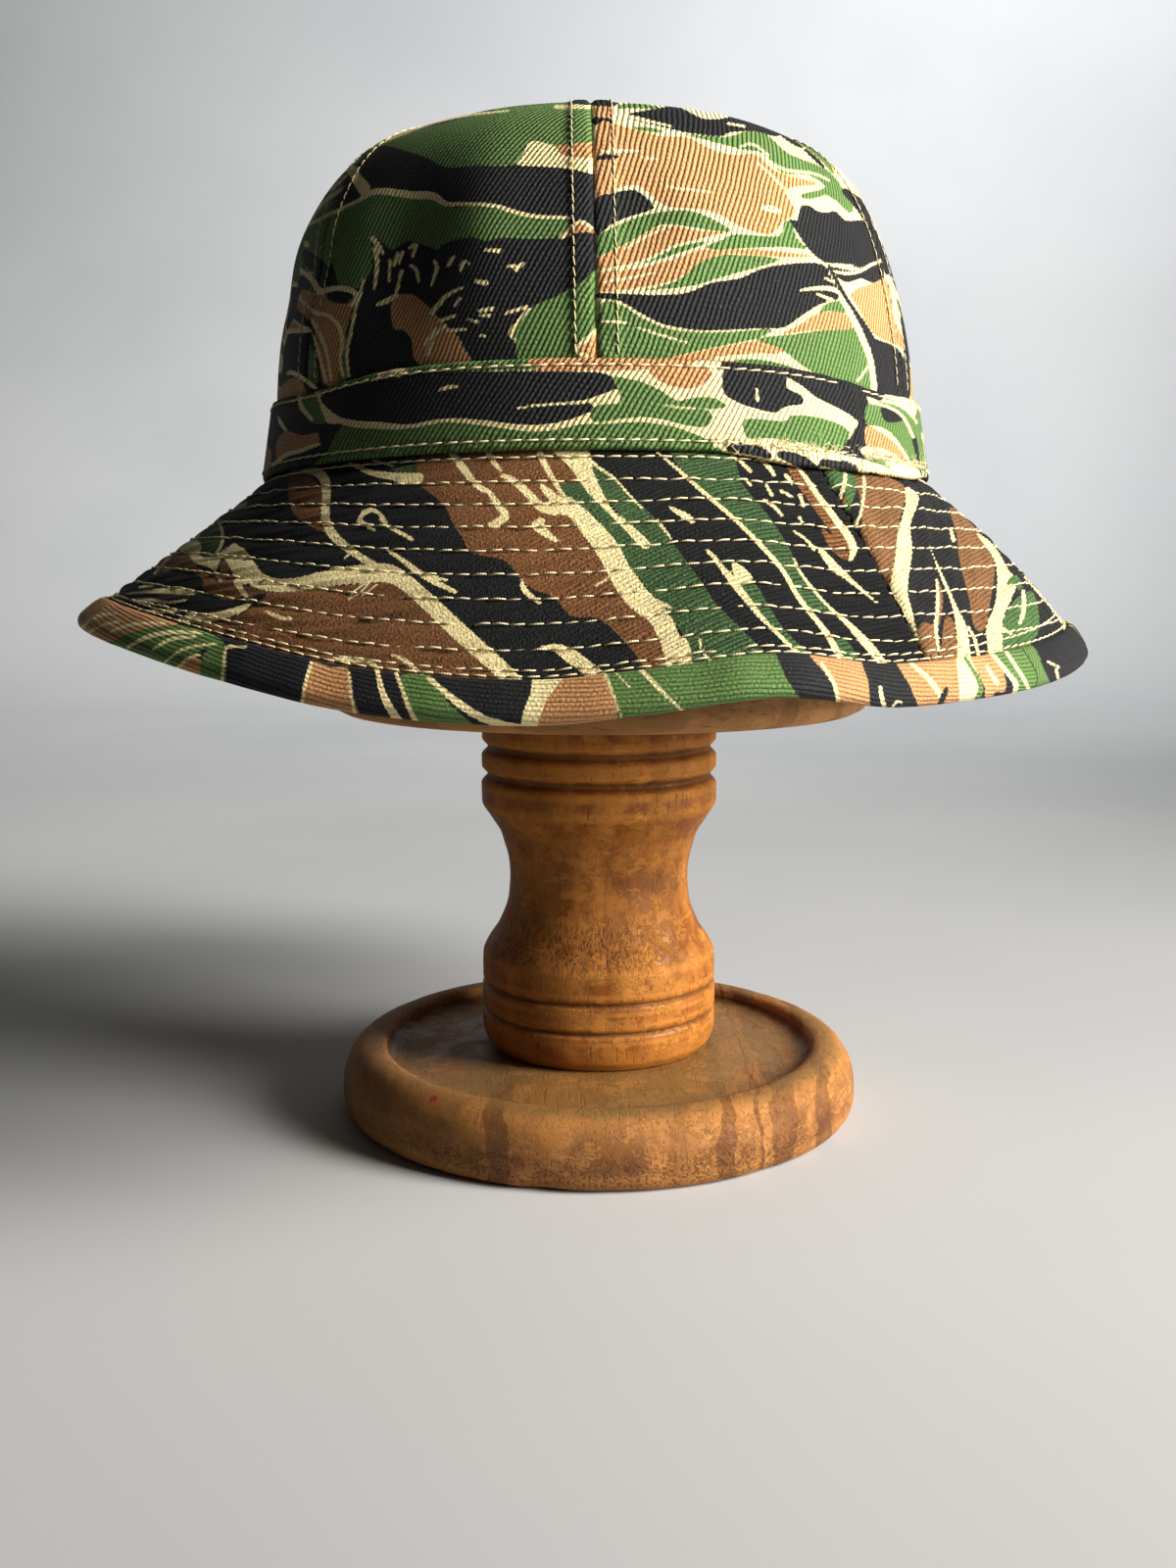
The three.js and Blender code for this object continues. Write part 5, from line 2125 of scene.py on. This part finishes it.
def ink_group() -> bpy.types.NodeTree:
    """Print: at each place the ink whose field is highest, with edges that fray along the weave.

    Returns:
        The group.
    """
    inputs = {"Print": "Color", "Cream Field": "Float", "Fray": "Float"}
    inputs |= {ink.name.title(): "Color" for ink in Ink}
    nodes, given, made = new_group("printed_ink", inputs, {"Colour": "Color"})
    split = nodes.add("SeparateColor", {"Color": given.outputs["Print"]})
    best = given.outputs["Cream Field"]
    colour = given.outputs["Cream"]
    soft = 0.55 / (2.0 * INK_REACH)
    creep = nodes.math("MULTIPLY", given.outputs["Fray"], 1.0 / (2.0 * INK_REACH))
    for ink in (Ink.GREEN, Ink.BROWN, Ink.BLACK):
        field = split.outputs[int(ink)]
        lead = nodes.math("ADD", nodes.math("SUBTRACT", field, best), creep)
        colour = nodes.mix(nodes.ramp(lead, -soft, soft), colour, given.outputs[ink.name.title()])
        best = nodes.math("MAXIMUM", best, field)
    nodes.feed(made.inputs["Colour"], colour)
    return nodes.tree


def fade_and_shade_group() -> bpy.types.NodeTree:
    """Wash and handling: slow light and dark clouds with fine lint, over the twill's painted furrow shade.

    Pale inks lift their painted furrow shade with painted light.

    Returns:
        The group.
    """
    nodes, given, made = new_group("cloth_fade_and_shade", {"Colour": "Color", "Shade": "Float", "Place": "Vector"},
                                   {"Colour": "Color"})
    cloud = nodes.ramp(nodes.noise(given.outputs["Place"], 26.0, 3.0), 0.3, 0.7, 0.90, 1.08)
    lint = nodes.ramp(nodes.noise(given.outputs["Place"], 900.0, 2.0), 0.70, 0.80, 0.0, 0.10)
    split = nodes.add("SeparateColor", {"Color": given.outputs["Colour"]})
    # Painted light: the paler the ink, the more its painted furrow shade is lifted towards white.
    pale = nodes.math("MULTIPLY", split.outputs["Green"], 0.75)
    filled = nodes.mix(pale, given.outputs["Shade"], (1.04, 1.04, 1.04))
    light = nodes.mix(1.0, filled, cloud, blend="MULTIPLY")
    shaded = nodes.mix(1.0, given.outputs["Colour"], light, blend="MULTIPLY")
    nodes.feed(made.inputs["Colour"], nodes.mix(lint, shaded, srgb(205, 200, 185)))
    return nodes.tree


def grain_group() -> bpy.types.NodeTree:
    """Wood: soft bands, fine pores, torn cells and blotches, with Place stretched along the grain.

    Rings are read in their own stretched place and have crisp edges.

    Returns:
        The group.
    """
    outputs = ("Band", "Pores", "Torn", "Blotch", "Wear", "Flake", "Ring")
    nodes, given, made = new_group("wood_grain", {"Place": "Vector", "Whole": "Vector", "Rings": "Vector"},
                                   dict.fromkeys(outputs, "Float"))
    whole = given.outputs["Whole"]
    flaky = nodes.stretch(whole, (0.6, 0.6, 1.5))
    cloud = nodes.add("TexNoise", {"Vector": whole, "Scale": 14.0, "Detail": 2.0})
    nudge = nodes.add("VectorMath", {0: cloud.outputs["Color"], "Scale": 0.02}, operation="SCALE")
    bend = nodes.add("VectorMath", {0: given.outputs["Place"], 1: nudge.outputs[0]}, operation="ADD")
    place = bend.outputs[0]
    nodes.feed_all(made, {
        "Band": nodes.ramp(nodes.noise(place, 130.0, 5.0, 0.65), 0.34, 0.66),
        "Pores": nodes.ramp(nodes.noise(place, 1000.0, 3.0, 0.6), 0.58, 0.70),
        "Torn": nodes.ramp(nodes.noise(place, 1050.0, 3.0, 0.6), 0.50, 0.60),
        "Blotch": nodes.ramp(nodes.noise(whole, 44.0, 6.0, 0.66), 0.50, 0.64),
        "Wear": nodes.ramp(nodes.noise(whole, 105.0, 9.0, 0.76), 0.47, 0.57),
        "Flake": nodes.ramp(nodes.noise(flaky, 170.0, 9.0, 0.72), 0.545, 0.565),
        "Ring": nodes.ramp(nodes.noise(given.outputs["Rings"], 1.0, 2.0, 0.45), 0.61, 0.635),
    })
    return nodes.tree


def new_material(name: str) -> tuple[bpy.types.Material, Nodes, bpy.types.Node]:
    """A material with its nodes and its Principled BSDF.

    Args:
        name: Its name.

    Returns:
        The material, its nodes and the shader node.
    """
    material = bpy.data.materials.new(name)
    material.use_nodes = True
    nodes = Nodes(material.node_tree)
    return material, nodes, material.node_tree.nodes["Principled BSDF"]


@dataclass(frozen=True)
class TwillFinish:
    """Printed cotton twill: its inks, and how its ribs lie on the cloth coordinates.

    The rib angle is measured from the first cloth coordinate, and the pitch is from rib to rib in
    millimetres. On the left, away from the light, the ribs' relief and their painted furrow shade are
    weakened by a share, between two places along x.
    """

    name: str
    inks: tuple[Colour, Colour, Colour, Colour]
    rib_angle: float
    rib_pitch: float
    ribbing: float = 1.0
    worn_edges_and_shaded_side: float = 0.0
    shaded_side_span: tuple[float, float] = (-0.03, 0.05)
    speckle: float = 0.42
    relief: float = 0.0005
    reverse: Colour = srgb(178, 166, 132)

    def material(self, groups: Groups) -> bpy.types.Material:
        """Builds the material.

        Args:
            groups: The shared node groups by name.

        Returns:
            The material.
        """
        material, nodes, shader = new_material(self.name)
        angle = math.radians(self.rib_angle)
        across = (-math.sin(angle) / self.rib_pitch, math.cos(angle) / self.rib_pitch, 0.0)
        floats = (math.cos(angle) / (1.1 * self.rib_pitch), math.sin(angle) / (1.1 * self.rib_pitch), 0.0)
        flat = nodes.add("UVMap", uv_map="cloth").outputs[0]
        place = nodes.add("TexCoord").outputs["Object"]
        # Painted light: ribs and their painted furrow shade show less on the left, away from the light.
        flatter = self.ribbing * (1.0 - self.worn_edges_and_shaded_side)
        ribbing = nodes.ramp(nodes.dot(place, (1.0, 0.0, 0.0)), *self.shaded_side_span, flatter, self.ribbing)
        lay = {"Flat": flat, "Across": across, "Floats": floats, "Ribbing": ribbing, "Speckle": self.speckle}
        twill = nodes.add("Group", lay, node_tree=groups["twill_weave"]).outputs
        fields = nodes.add("Attribute", attribute_name="print").outputs
        inked = {"Print": fields["Color"], "Cream Field": fields["Alpha"], "Fray": twill["Fray"]}
        inked |= {kind.name.title(): self.inks[kind] for kind in Ink}
        ink = nodes.add("Group", inked, node_tree=groups["printed_ink"]).outputs["Colour"]
        printed = nodes.add("Attribute", attribute_name="printed").outputs["Fac"]
        colour = nodes.mix(printed, nodes.mix(0.65, ink, self.reverse), ink)
        # Painted shade: the twill's furrow shade darkens the printed colour, under wash clouds and lint.
        fading_and_shading = {"Colour": colour, "Shade": twill["Shade"], "Place": place}
        fade = nodes.add("Group", fading_and_shading, node_tree=groups["cloth_fade_and_shade"])
        bump = nodes.add("Bump", {"Height": twill["Height"], "Distance": self.relief, "Strength": 1.0})
        nodes.feed_all(shader, {
            "Base Color": fade.outputs["Colour"], "Normal": bump.outputs["Normal"],
            "Roughness": twill["Gloss"], "Specular IOR Level": 0.32,
            "Sheen Weight": 0.02, "Sheen Roughness": 0.4,
        })
        return material


@dataclass(frozen=True)
class ThreadFinish:
    """Cream cotton thread with a fine twist."""

    name: str = "cream_thread"
    colour: Colour = srgb(240, 228, 190)
    shade: Colour = srgb(206, 186, 140)

    def material(self) -> bpy.types.Material:
        """Builds the material: a twist of light and dark along the thread.

        Returns:
            The material.
        """
        material, nodes, shader = new_material(self.name)
        flat = nodes.add("UVMap", uv_map="cloth").outputs[0]
        twist = nodes.math("SINE", nodes.math("MULTIPLY", nodes.dot(flat, (1.6, 1.0, 0.0)), 2.0 * math.pi))
        colour = nodes.mix(nodes.ramp(twist, -1.0, 1.0), self.shade, self.colour)
        bump = nodes.add("Bump", {"Height": twist, "Distance": 0.00006, "Strength": 0.6})
        nodes.feed_all(shader, {"Base Color": colour, "Normal": bump.outputs["Normal"], "Roughness": 0.8})
        return material


@dataclass(frozen=True)
class WoodFinish:
    """Stained turned wood, worn light on its edges, with painted shade darkening its hollows.

    Grain and rings tell how places are stretched along the grain and across the growth rings. Shares tell how
    far rings, flakes and dust show. The wood is torn on one side between two heights. Dark stripes lie across
    the grain, each with its place along x and its half width, and specks of red paint have places and a half
    width. Heights and places are in metres.
    """

    name: str
    light: Colour
    middle: Colour
    dark: Colour
    grain: Place
    rings: Place
    ring_share: float
    flaking: float
    torn_side: Place
    torn_from: float
    torn_to: float
    dust: float = 0.0
    dust_colour: Colour = srgb(136, 108, 64)
    stripes: tuple[tuple[float, float], ...] = ()
    specks: tuple[Place, ...] = ()
    speck: float = 0.0013
    speck_colour: Colour = srgb(168, 40, 34)

    def torn_mask(self, nodes: Nodes, place: Socket, normal: Socket) -> Socket:
        """Where the wood is torn: on one side, between two heights, fading out at both.

        Args:
            nodes: The material's nodes.
            place: Object place.
            normal: Surface normal.

        Returns:
            The mask.
        """
        height = nodes.dot(place, (0.0, 0.0, 1.0))
        fade = 0.25 * (self.torn_to - self.torn_from)
        above = nodes.ramp(height, self.torn_from, self.torn_from + fade)
        below = nodes.ramp(height, self.torn_to - 2.0 * fade, self.torn_to, 1.0, 0.0)
        facing = nodes.ramp(nodes.dot(normal, self.torn_side), 0.45, 0.92)
        return nodes.math("MULTIPLY", nodes.math("MULTIPLY", above, below), facing)

    def stain(self, nodes: Nodes, grain: object, worn: Socket, flaked: Socket) -> Socket:
        """The stained wood with its bands, blotches, worn edges, flakes and rings.

        Args:
            nodes: The material's nodes.
            grain: Outputs of the grain group.
            worn: How far the stain is worn off.
            flaked: How far it has flaked off.

        Returns:
            The colour.
        """
        colour = nodes.mix(nodes.math("MULTIPLY", grain["Band"], 0.6), self.middle, self.light)
        colour = nodes.mix(nodes.math("MULTIPLY", grain["Blotch"], 0.42), colour, self.dark)
        colour = nodes.mix(worn, colour, self.light)
        colour = nodes.mix(flaked, colour, self.light)
        return nodes.mix(nodes.math("MULTIPLY", grain["Ring"], self.ring_share), colour, self.dark)

    def stripe(self, nodes: Nodes, place: Socket, colour: Socket) -> Socket:
        """Lays the dark stripes, with wandering edges, over a colour.

        Args:
            nodes: The material's nodes.
            place: Object place.
            colour: The colour below.

        Returns:
            The striped colour.
        """
        wander = nodes.noise(place, 70.0, 3.0)
        along = nodes.math("MULTIPLY_ADD", wander, 0.009, nodes.dot(place, (1.0, 0.0, 0.0)))
        for middle, half in self.stripes:
            away = nodes.math("ABSOLUTE", nodes.math("SUBTRACT", along, middle))
            colour = nodes.mix(nodes.ramp(away, 0.8 * half, half, 0.5, 0.0), colour, self.dark)
        return colour

    def soil(self, nodes: Nodes, place: Socket, normal: Socket, colour: Socket) -> Socket:
        """Lays dust on what faces up, then the specks of paint.

        Args:
            nodes: The material's nodes.
            place: Object place.
            normal: Surface normal.
            colour: The colour below.

        Returns:
            The soiled colour.
        """
        upward = nodes.ramp(nodes.dot(normal, (0.0, 0.0, 1.0)), 0.75, 0.99)
        dusty = nodes.ramp(nodes.noise(place, 45.0, 5.0, 0.65), 0.30, 0.62, 0.0, self.dust)
        colour = nodes.mix(nodes.math("MULTIPLY", upward, dusty), colour, self.dust_colour)
        for spot in self.specks:
            away = nodes.add("VectorMath", {0: place, 1: spot}, operation="DISTANCE").outputs["Value"]
            painted = nodes.ramp(away, self.speck, 1.3 * self.speck, 0.8, 0.0)
            colour = nodes.mix(painted, colour, self.speck_colour)
        return colour

    def material(self, groups: Groups) -> bpy.types.Material:
        """Builds the material.

        Args:
            groups: The shared node groups by name.

        Returns:
            The material.
        """
        material, nodes, shader = new_material(self.name)
        place = nodes.add("TexCoord").outputs["Object"]
        normal = nodes.add("NewGeometry").outputs["Normal"]
        hollow = nodes.add("Attribute", attribute_name="hollow").outputs["Fac"]
        laid, rings = nodes.stretch(place, self.grain), nodes.stretch(place, self.rings)
        places = {"Place": laid, "Whole": place, "Rings": rings}
        grain = nodes.add("Group", places, node_tree=groups["wood_grain"]).outputs
        worn_edges_and_shaded_side = nodes.ramp(hollow, -0.15, -0.6, 0.0, 0.7)
        worn = nodes.math("MAXIMUM", nodes.math("MULTIPLY", grain["Wear"], 0.55), worn_edges_and_shaded_side)
        flaked = nodes.math("MULTIPLY", grain["Flake"], self.flaking)
        colour = self.stripe(nodes, place, self.stain(nodes, grain, worn, flaked))
        torn = nodes.math("MULTIPLY", grain["Torn"], self.torn_mask(nodes, place, normal))
        pores = nodes.math("MULTIPLY", grain["Pores"], 0.35)
        marked = nodes.math("MAXIMUM", pores, nodes.math("MULTIPLY", torn, 0.6))
        # Pores and torn cells darken the wood, and painted shade darkens its hollows.
        sunk = nodes.math("MAXIMUM", marked, nodes.ramp(hollow, 0.15, 0.9, 0.0, 0.58))
        colour = self.soil(nodes, place, normal, nodes.mix(sunk, colour, self.dark))
        relief = nodes.math("MULTIPLY_ADD", grain["Wear"], 0.25, nodes.math("MULTIPLY", marked, -1.0))
        relief = nodes.math("MULTIPLY_ADD", flaked, 0.6, relief)
        bump = nodes.add("Bump", {"Height": relief, "Distance": 0.0006, "Strength": 0.7})
        nodes.feed_all(shader, {
            "Base Color": colour, "Roughness": nodes.ramp(worn, 0.0, 0.7, 0.5, 0.68),
            "Normal": bump.outputs["Normal"], "Specular IOR Level": 0.32,
        })
        return material


BRIGHT_INKS = (srgb(103, 132, 74), srgb(200, 150, 102), srgb(36, 36, 37), srgb(244, 227, 172))
DEEP_INKS = (srgb(74, 102, 60), srgb(138, 94, 54), srgb(19, 19, 20), srgb(255, 237, 180))
# The back brim's inks: lighter green and black than the front brim's, and a duller cream.
BACK_BRIM_INKS = (srgb(80, 110, 62), srgb(136, 98, 62), srgb(31, 31, 32), srgb(236, 219, 164))
CROWN_TWILL = TwillFinish("crown_twill", BRIGHT_INKS, rib_angle=64.5, rib_pitch=1.24)
BAND_TWILL = TwillFinish("band_twill", BRIGHT_INKS, rib_angle=58.0, rib_pitch=1.25)
FRONT_BRIM_TWILL = TwillFinish(
    "front_brim_twill", DEEP_INKS, rib_angle=-84.0, rib_pitch=1.15, ribbing=1.1, worn_edges_and_shaded_side=0.78, speckle=0.9)
BACK_BRIM_TWILL = TwillFinish(
    "back_brim_twill", BACK_BRIM_INKS, rib_angle=-35.0, rib_pitch=1.1, ribbing=0.5, speckle=0.75)
BINDING_TWILL = TwillFinish("binding_twill", BRIGHT_INKS, rib_angle=4.0, rib_pitch=1.1, ribbing=0.6)
COLUMN_WOOD = WoodFinish(
    "column_wood", light=srgb(192, 132, 58), middle=srgb(143, 84, 27), dark=srgb(70, 36, 11),
    grain=(1.0, 1.0, 0.16), rings=(30.0, 24.0, 3.0), ring_share=0.25, flaking=0.55,
    torn_side=(-0.36, -0.86, 0.36), torn_from=0.046, torn_to=0.066)
BASE_WOOD = WoodFinish(
    "base_wood", light=srgb(180, 128, 70), middle=srgb(130, 83, 40), dark=srgb(82, 46, 26),
    grain=(1.0, 0.14, 1.0), rings=(150.0, 6.0, 30.0), ring_share=0.12, flaking=0.7,
    torn_side=(0.1, -0.99, 0.0), torn_from=-0.002, torn_to=0.014, dust=0.8,
    stripes=((-0.0235, 0.0028), (0.0385, 0.0022), (0.048, 0.0006), (0.055, 0.004), (0.0685, 0.0026)),
    specks=((-0.0563, 0.0273, 0.017), (-0.0463, -0.0577, 0.02)))
BLOCK_WOOD = WoodFinish(
    "block_wood", light=srgb(192, 144, 92), middle=srgb(160, 112, 64), dark=srgb(96, 60, 32),
    grain=(0.14, 1.0, 1.0), rings=(4.0, 120.0, 26.0), ring_share=0.3, flaking=0.25,
    torn_side=(1.0, 0.0, 0.0), torn_from=0.125, torn_to=0.142, dust=0.2)


@dataclass
class Studio:
    """A pale sheet swept from floor to wall, a broad soft light from the right, and a wash on the wall."""

    half_width: float = 3.0
    front: float = -2.0
    back: float = 1.7
    sweep: float = 0.5
    wall_top: float = 2.2
    spread: float = math.radians(75.0)

    def build_sheet(self) -> None:
        """The sheet: a level floor, a quarter round and an upright wall, carried sideways."""
        angle = np.linspace(0.0, math.pi / 2, 24)
        turn_y = self.back - self.sweep + self.sweep * np.sin(angle)
        turn_z = self.sweep - self.sweep * np.cos(angle)
        along = np.concatenate([[self.front], turn_y, [self.back]])
        height = np.concatenate([[0.0], turn_z, [self.wall_top]])
        across = np.array([-self.half_width, self.half_width])[None, :]
        points = np.stack(np.broadcast_arrays(across, along[:, None], height[:, None]), axis=-1)
        index = np.arange(points[..., 0].size).reshape(points.shape[:2])
        quads = np.stack([index[:-1, 0], index[:-1, 1], index[1:, 1], index[1:, 0]], axis=-1)
        points = points.reshape(-1, 3)
        sheet = add_mesh("studio_sheet", points / METRES, quads.tolist(), points[:, :2])
        material, nodes, shader = new_material("studio_paper")
        place = nodes.add("TexCoord").outputs["Object"]
        cloud = nodes.ramp(nodes.noise(place, 2.2, 3.0), 0.3, 0.7)
        paper = nodes.mix(cloud, srgb(188, 189, 189), srgb(197, 197, 196))
        nodes.feed_all(shader, {"Base Color": paper, "Roughness": 0.9})
        sheet.data.materials.append(material)

    def add_light(
        self, name: str, place: Place, target: Place, size: tuple[float, float], power: float, tone: Colour
    ) -> None:
        """Adds an oblong soft light.

        Args:
            name: Its name.
            place: Where it stands, in metres.
            target: What it points at.
            size: Its width and height in metres.
            power: Its power in watts.
            tone: Its colour.
        """
        light = bpy.data.lights.new(name, "AREA")
        light.shape = "RECTANGLE"
        light.size, light.size_y = size
        light.energy = power
        light.spread = self.spread
        light.color = tone
        lamp = bpy.data.objects.new(name, light)
        lamp.location = place
        sight = np.array(target) - np.array(place)
        yaw = math.atan2(sight[1], sight[0])
        fall = math.atan2(math.hypot(sight[0], sight[1]), -sight[2])
        lamp.rotation_euler = (fall, 0.0, yaw - math.pi / 2)
        bpy.context.scene.collection.objects.link(lamp)

    def build(self) -> None:
        """Lays the sheet and sets the lights."""
        self.build_sheet()
        hat = (0.0, 0.0, 0.19)
        self.add_light("window", place=(1.17, -0.50, 0.72), target=hat,
                       size=(0.6, 1.1), power=11.6, tone=(1.0, 0.98, 0.95))
        self.add_light("wall_wash", place=(1.6, 0.2, 1.5), target=(-0.2, 1.7, 0.6),
                       size=(0.8, 0.8), power=19.0, tone=(0.97, 0.98, 1.0))
        world = bpy.data.worlds.new("room")
        world.use_nodes = True
        fill = {"Color": (0.92, 0.96, 1.0), "Strength": 0.028}
        Nodes(world.node_tree).feed_all(world.node_tree.nodes["Background"], fill)
        scene = bpy.context.scene
        scene.world = world
        scene.view_settings.view_transform = "Standard"
        scene.view_settings.exposure = 0.1
        scene.view_settings.gamma = 0.86


def sew_hat(groups: Groups) -> None:
    """Builds the hat's cloth, then the threads that hold it.

    Args:
        groups: The shared node groups by name.
    """
    crown = Crown(GORES)
    band = HatBand(BAND_CLOTH)
    brim = Brim(BRIM_HALVES)
    for cloth in (crown, band, brim, Binding(brim, BINDING_CLOTH)):
        cloth.dress(groups)
    thread = ThreadFinish().material()
    Stitching(length=2.5, pitch=2.65, thread=0.2).dress("crown_stitches", crown.seam_stitches(), thread)
    Stitching().dress("band_stitches", band.edge_stitches(), thread)
    FrayedFoot(band).dress(thread)
    Stitching().dress("brim_stitches", brim.row_stitches(), thread)


def main() -> None:
    """Builds the view, the hat, the stand and the studio."""
    logging.basicConfig(level=logging.INFO, format="%(name)s: %(message)s")
    VIEW.add_camera()
    makers = (twill_group, ink_group, fade_and_shade_group, grain_group)
    groups = {tree.name: tree for tree in (make() for make in makers)}
    sew_hat(groups)
    Stand().dress(groups)
    Studio().build()


if __name__ == "__main__":
    main()
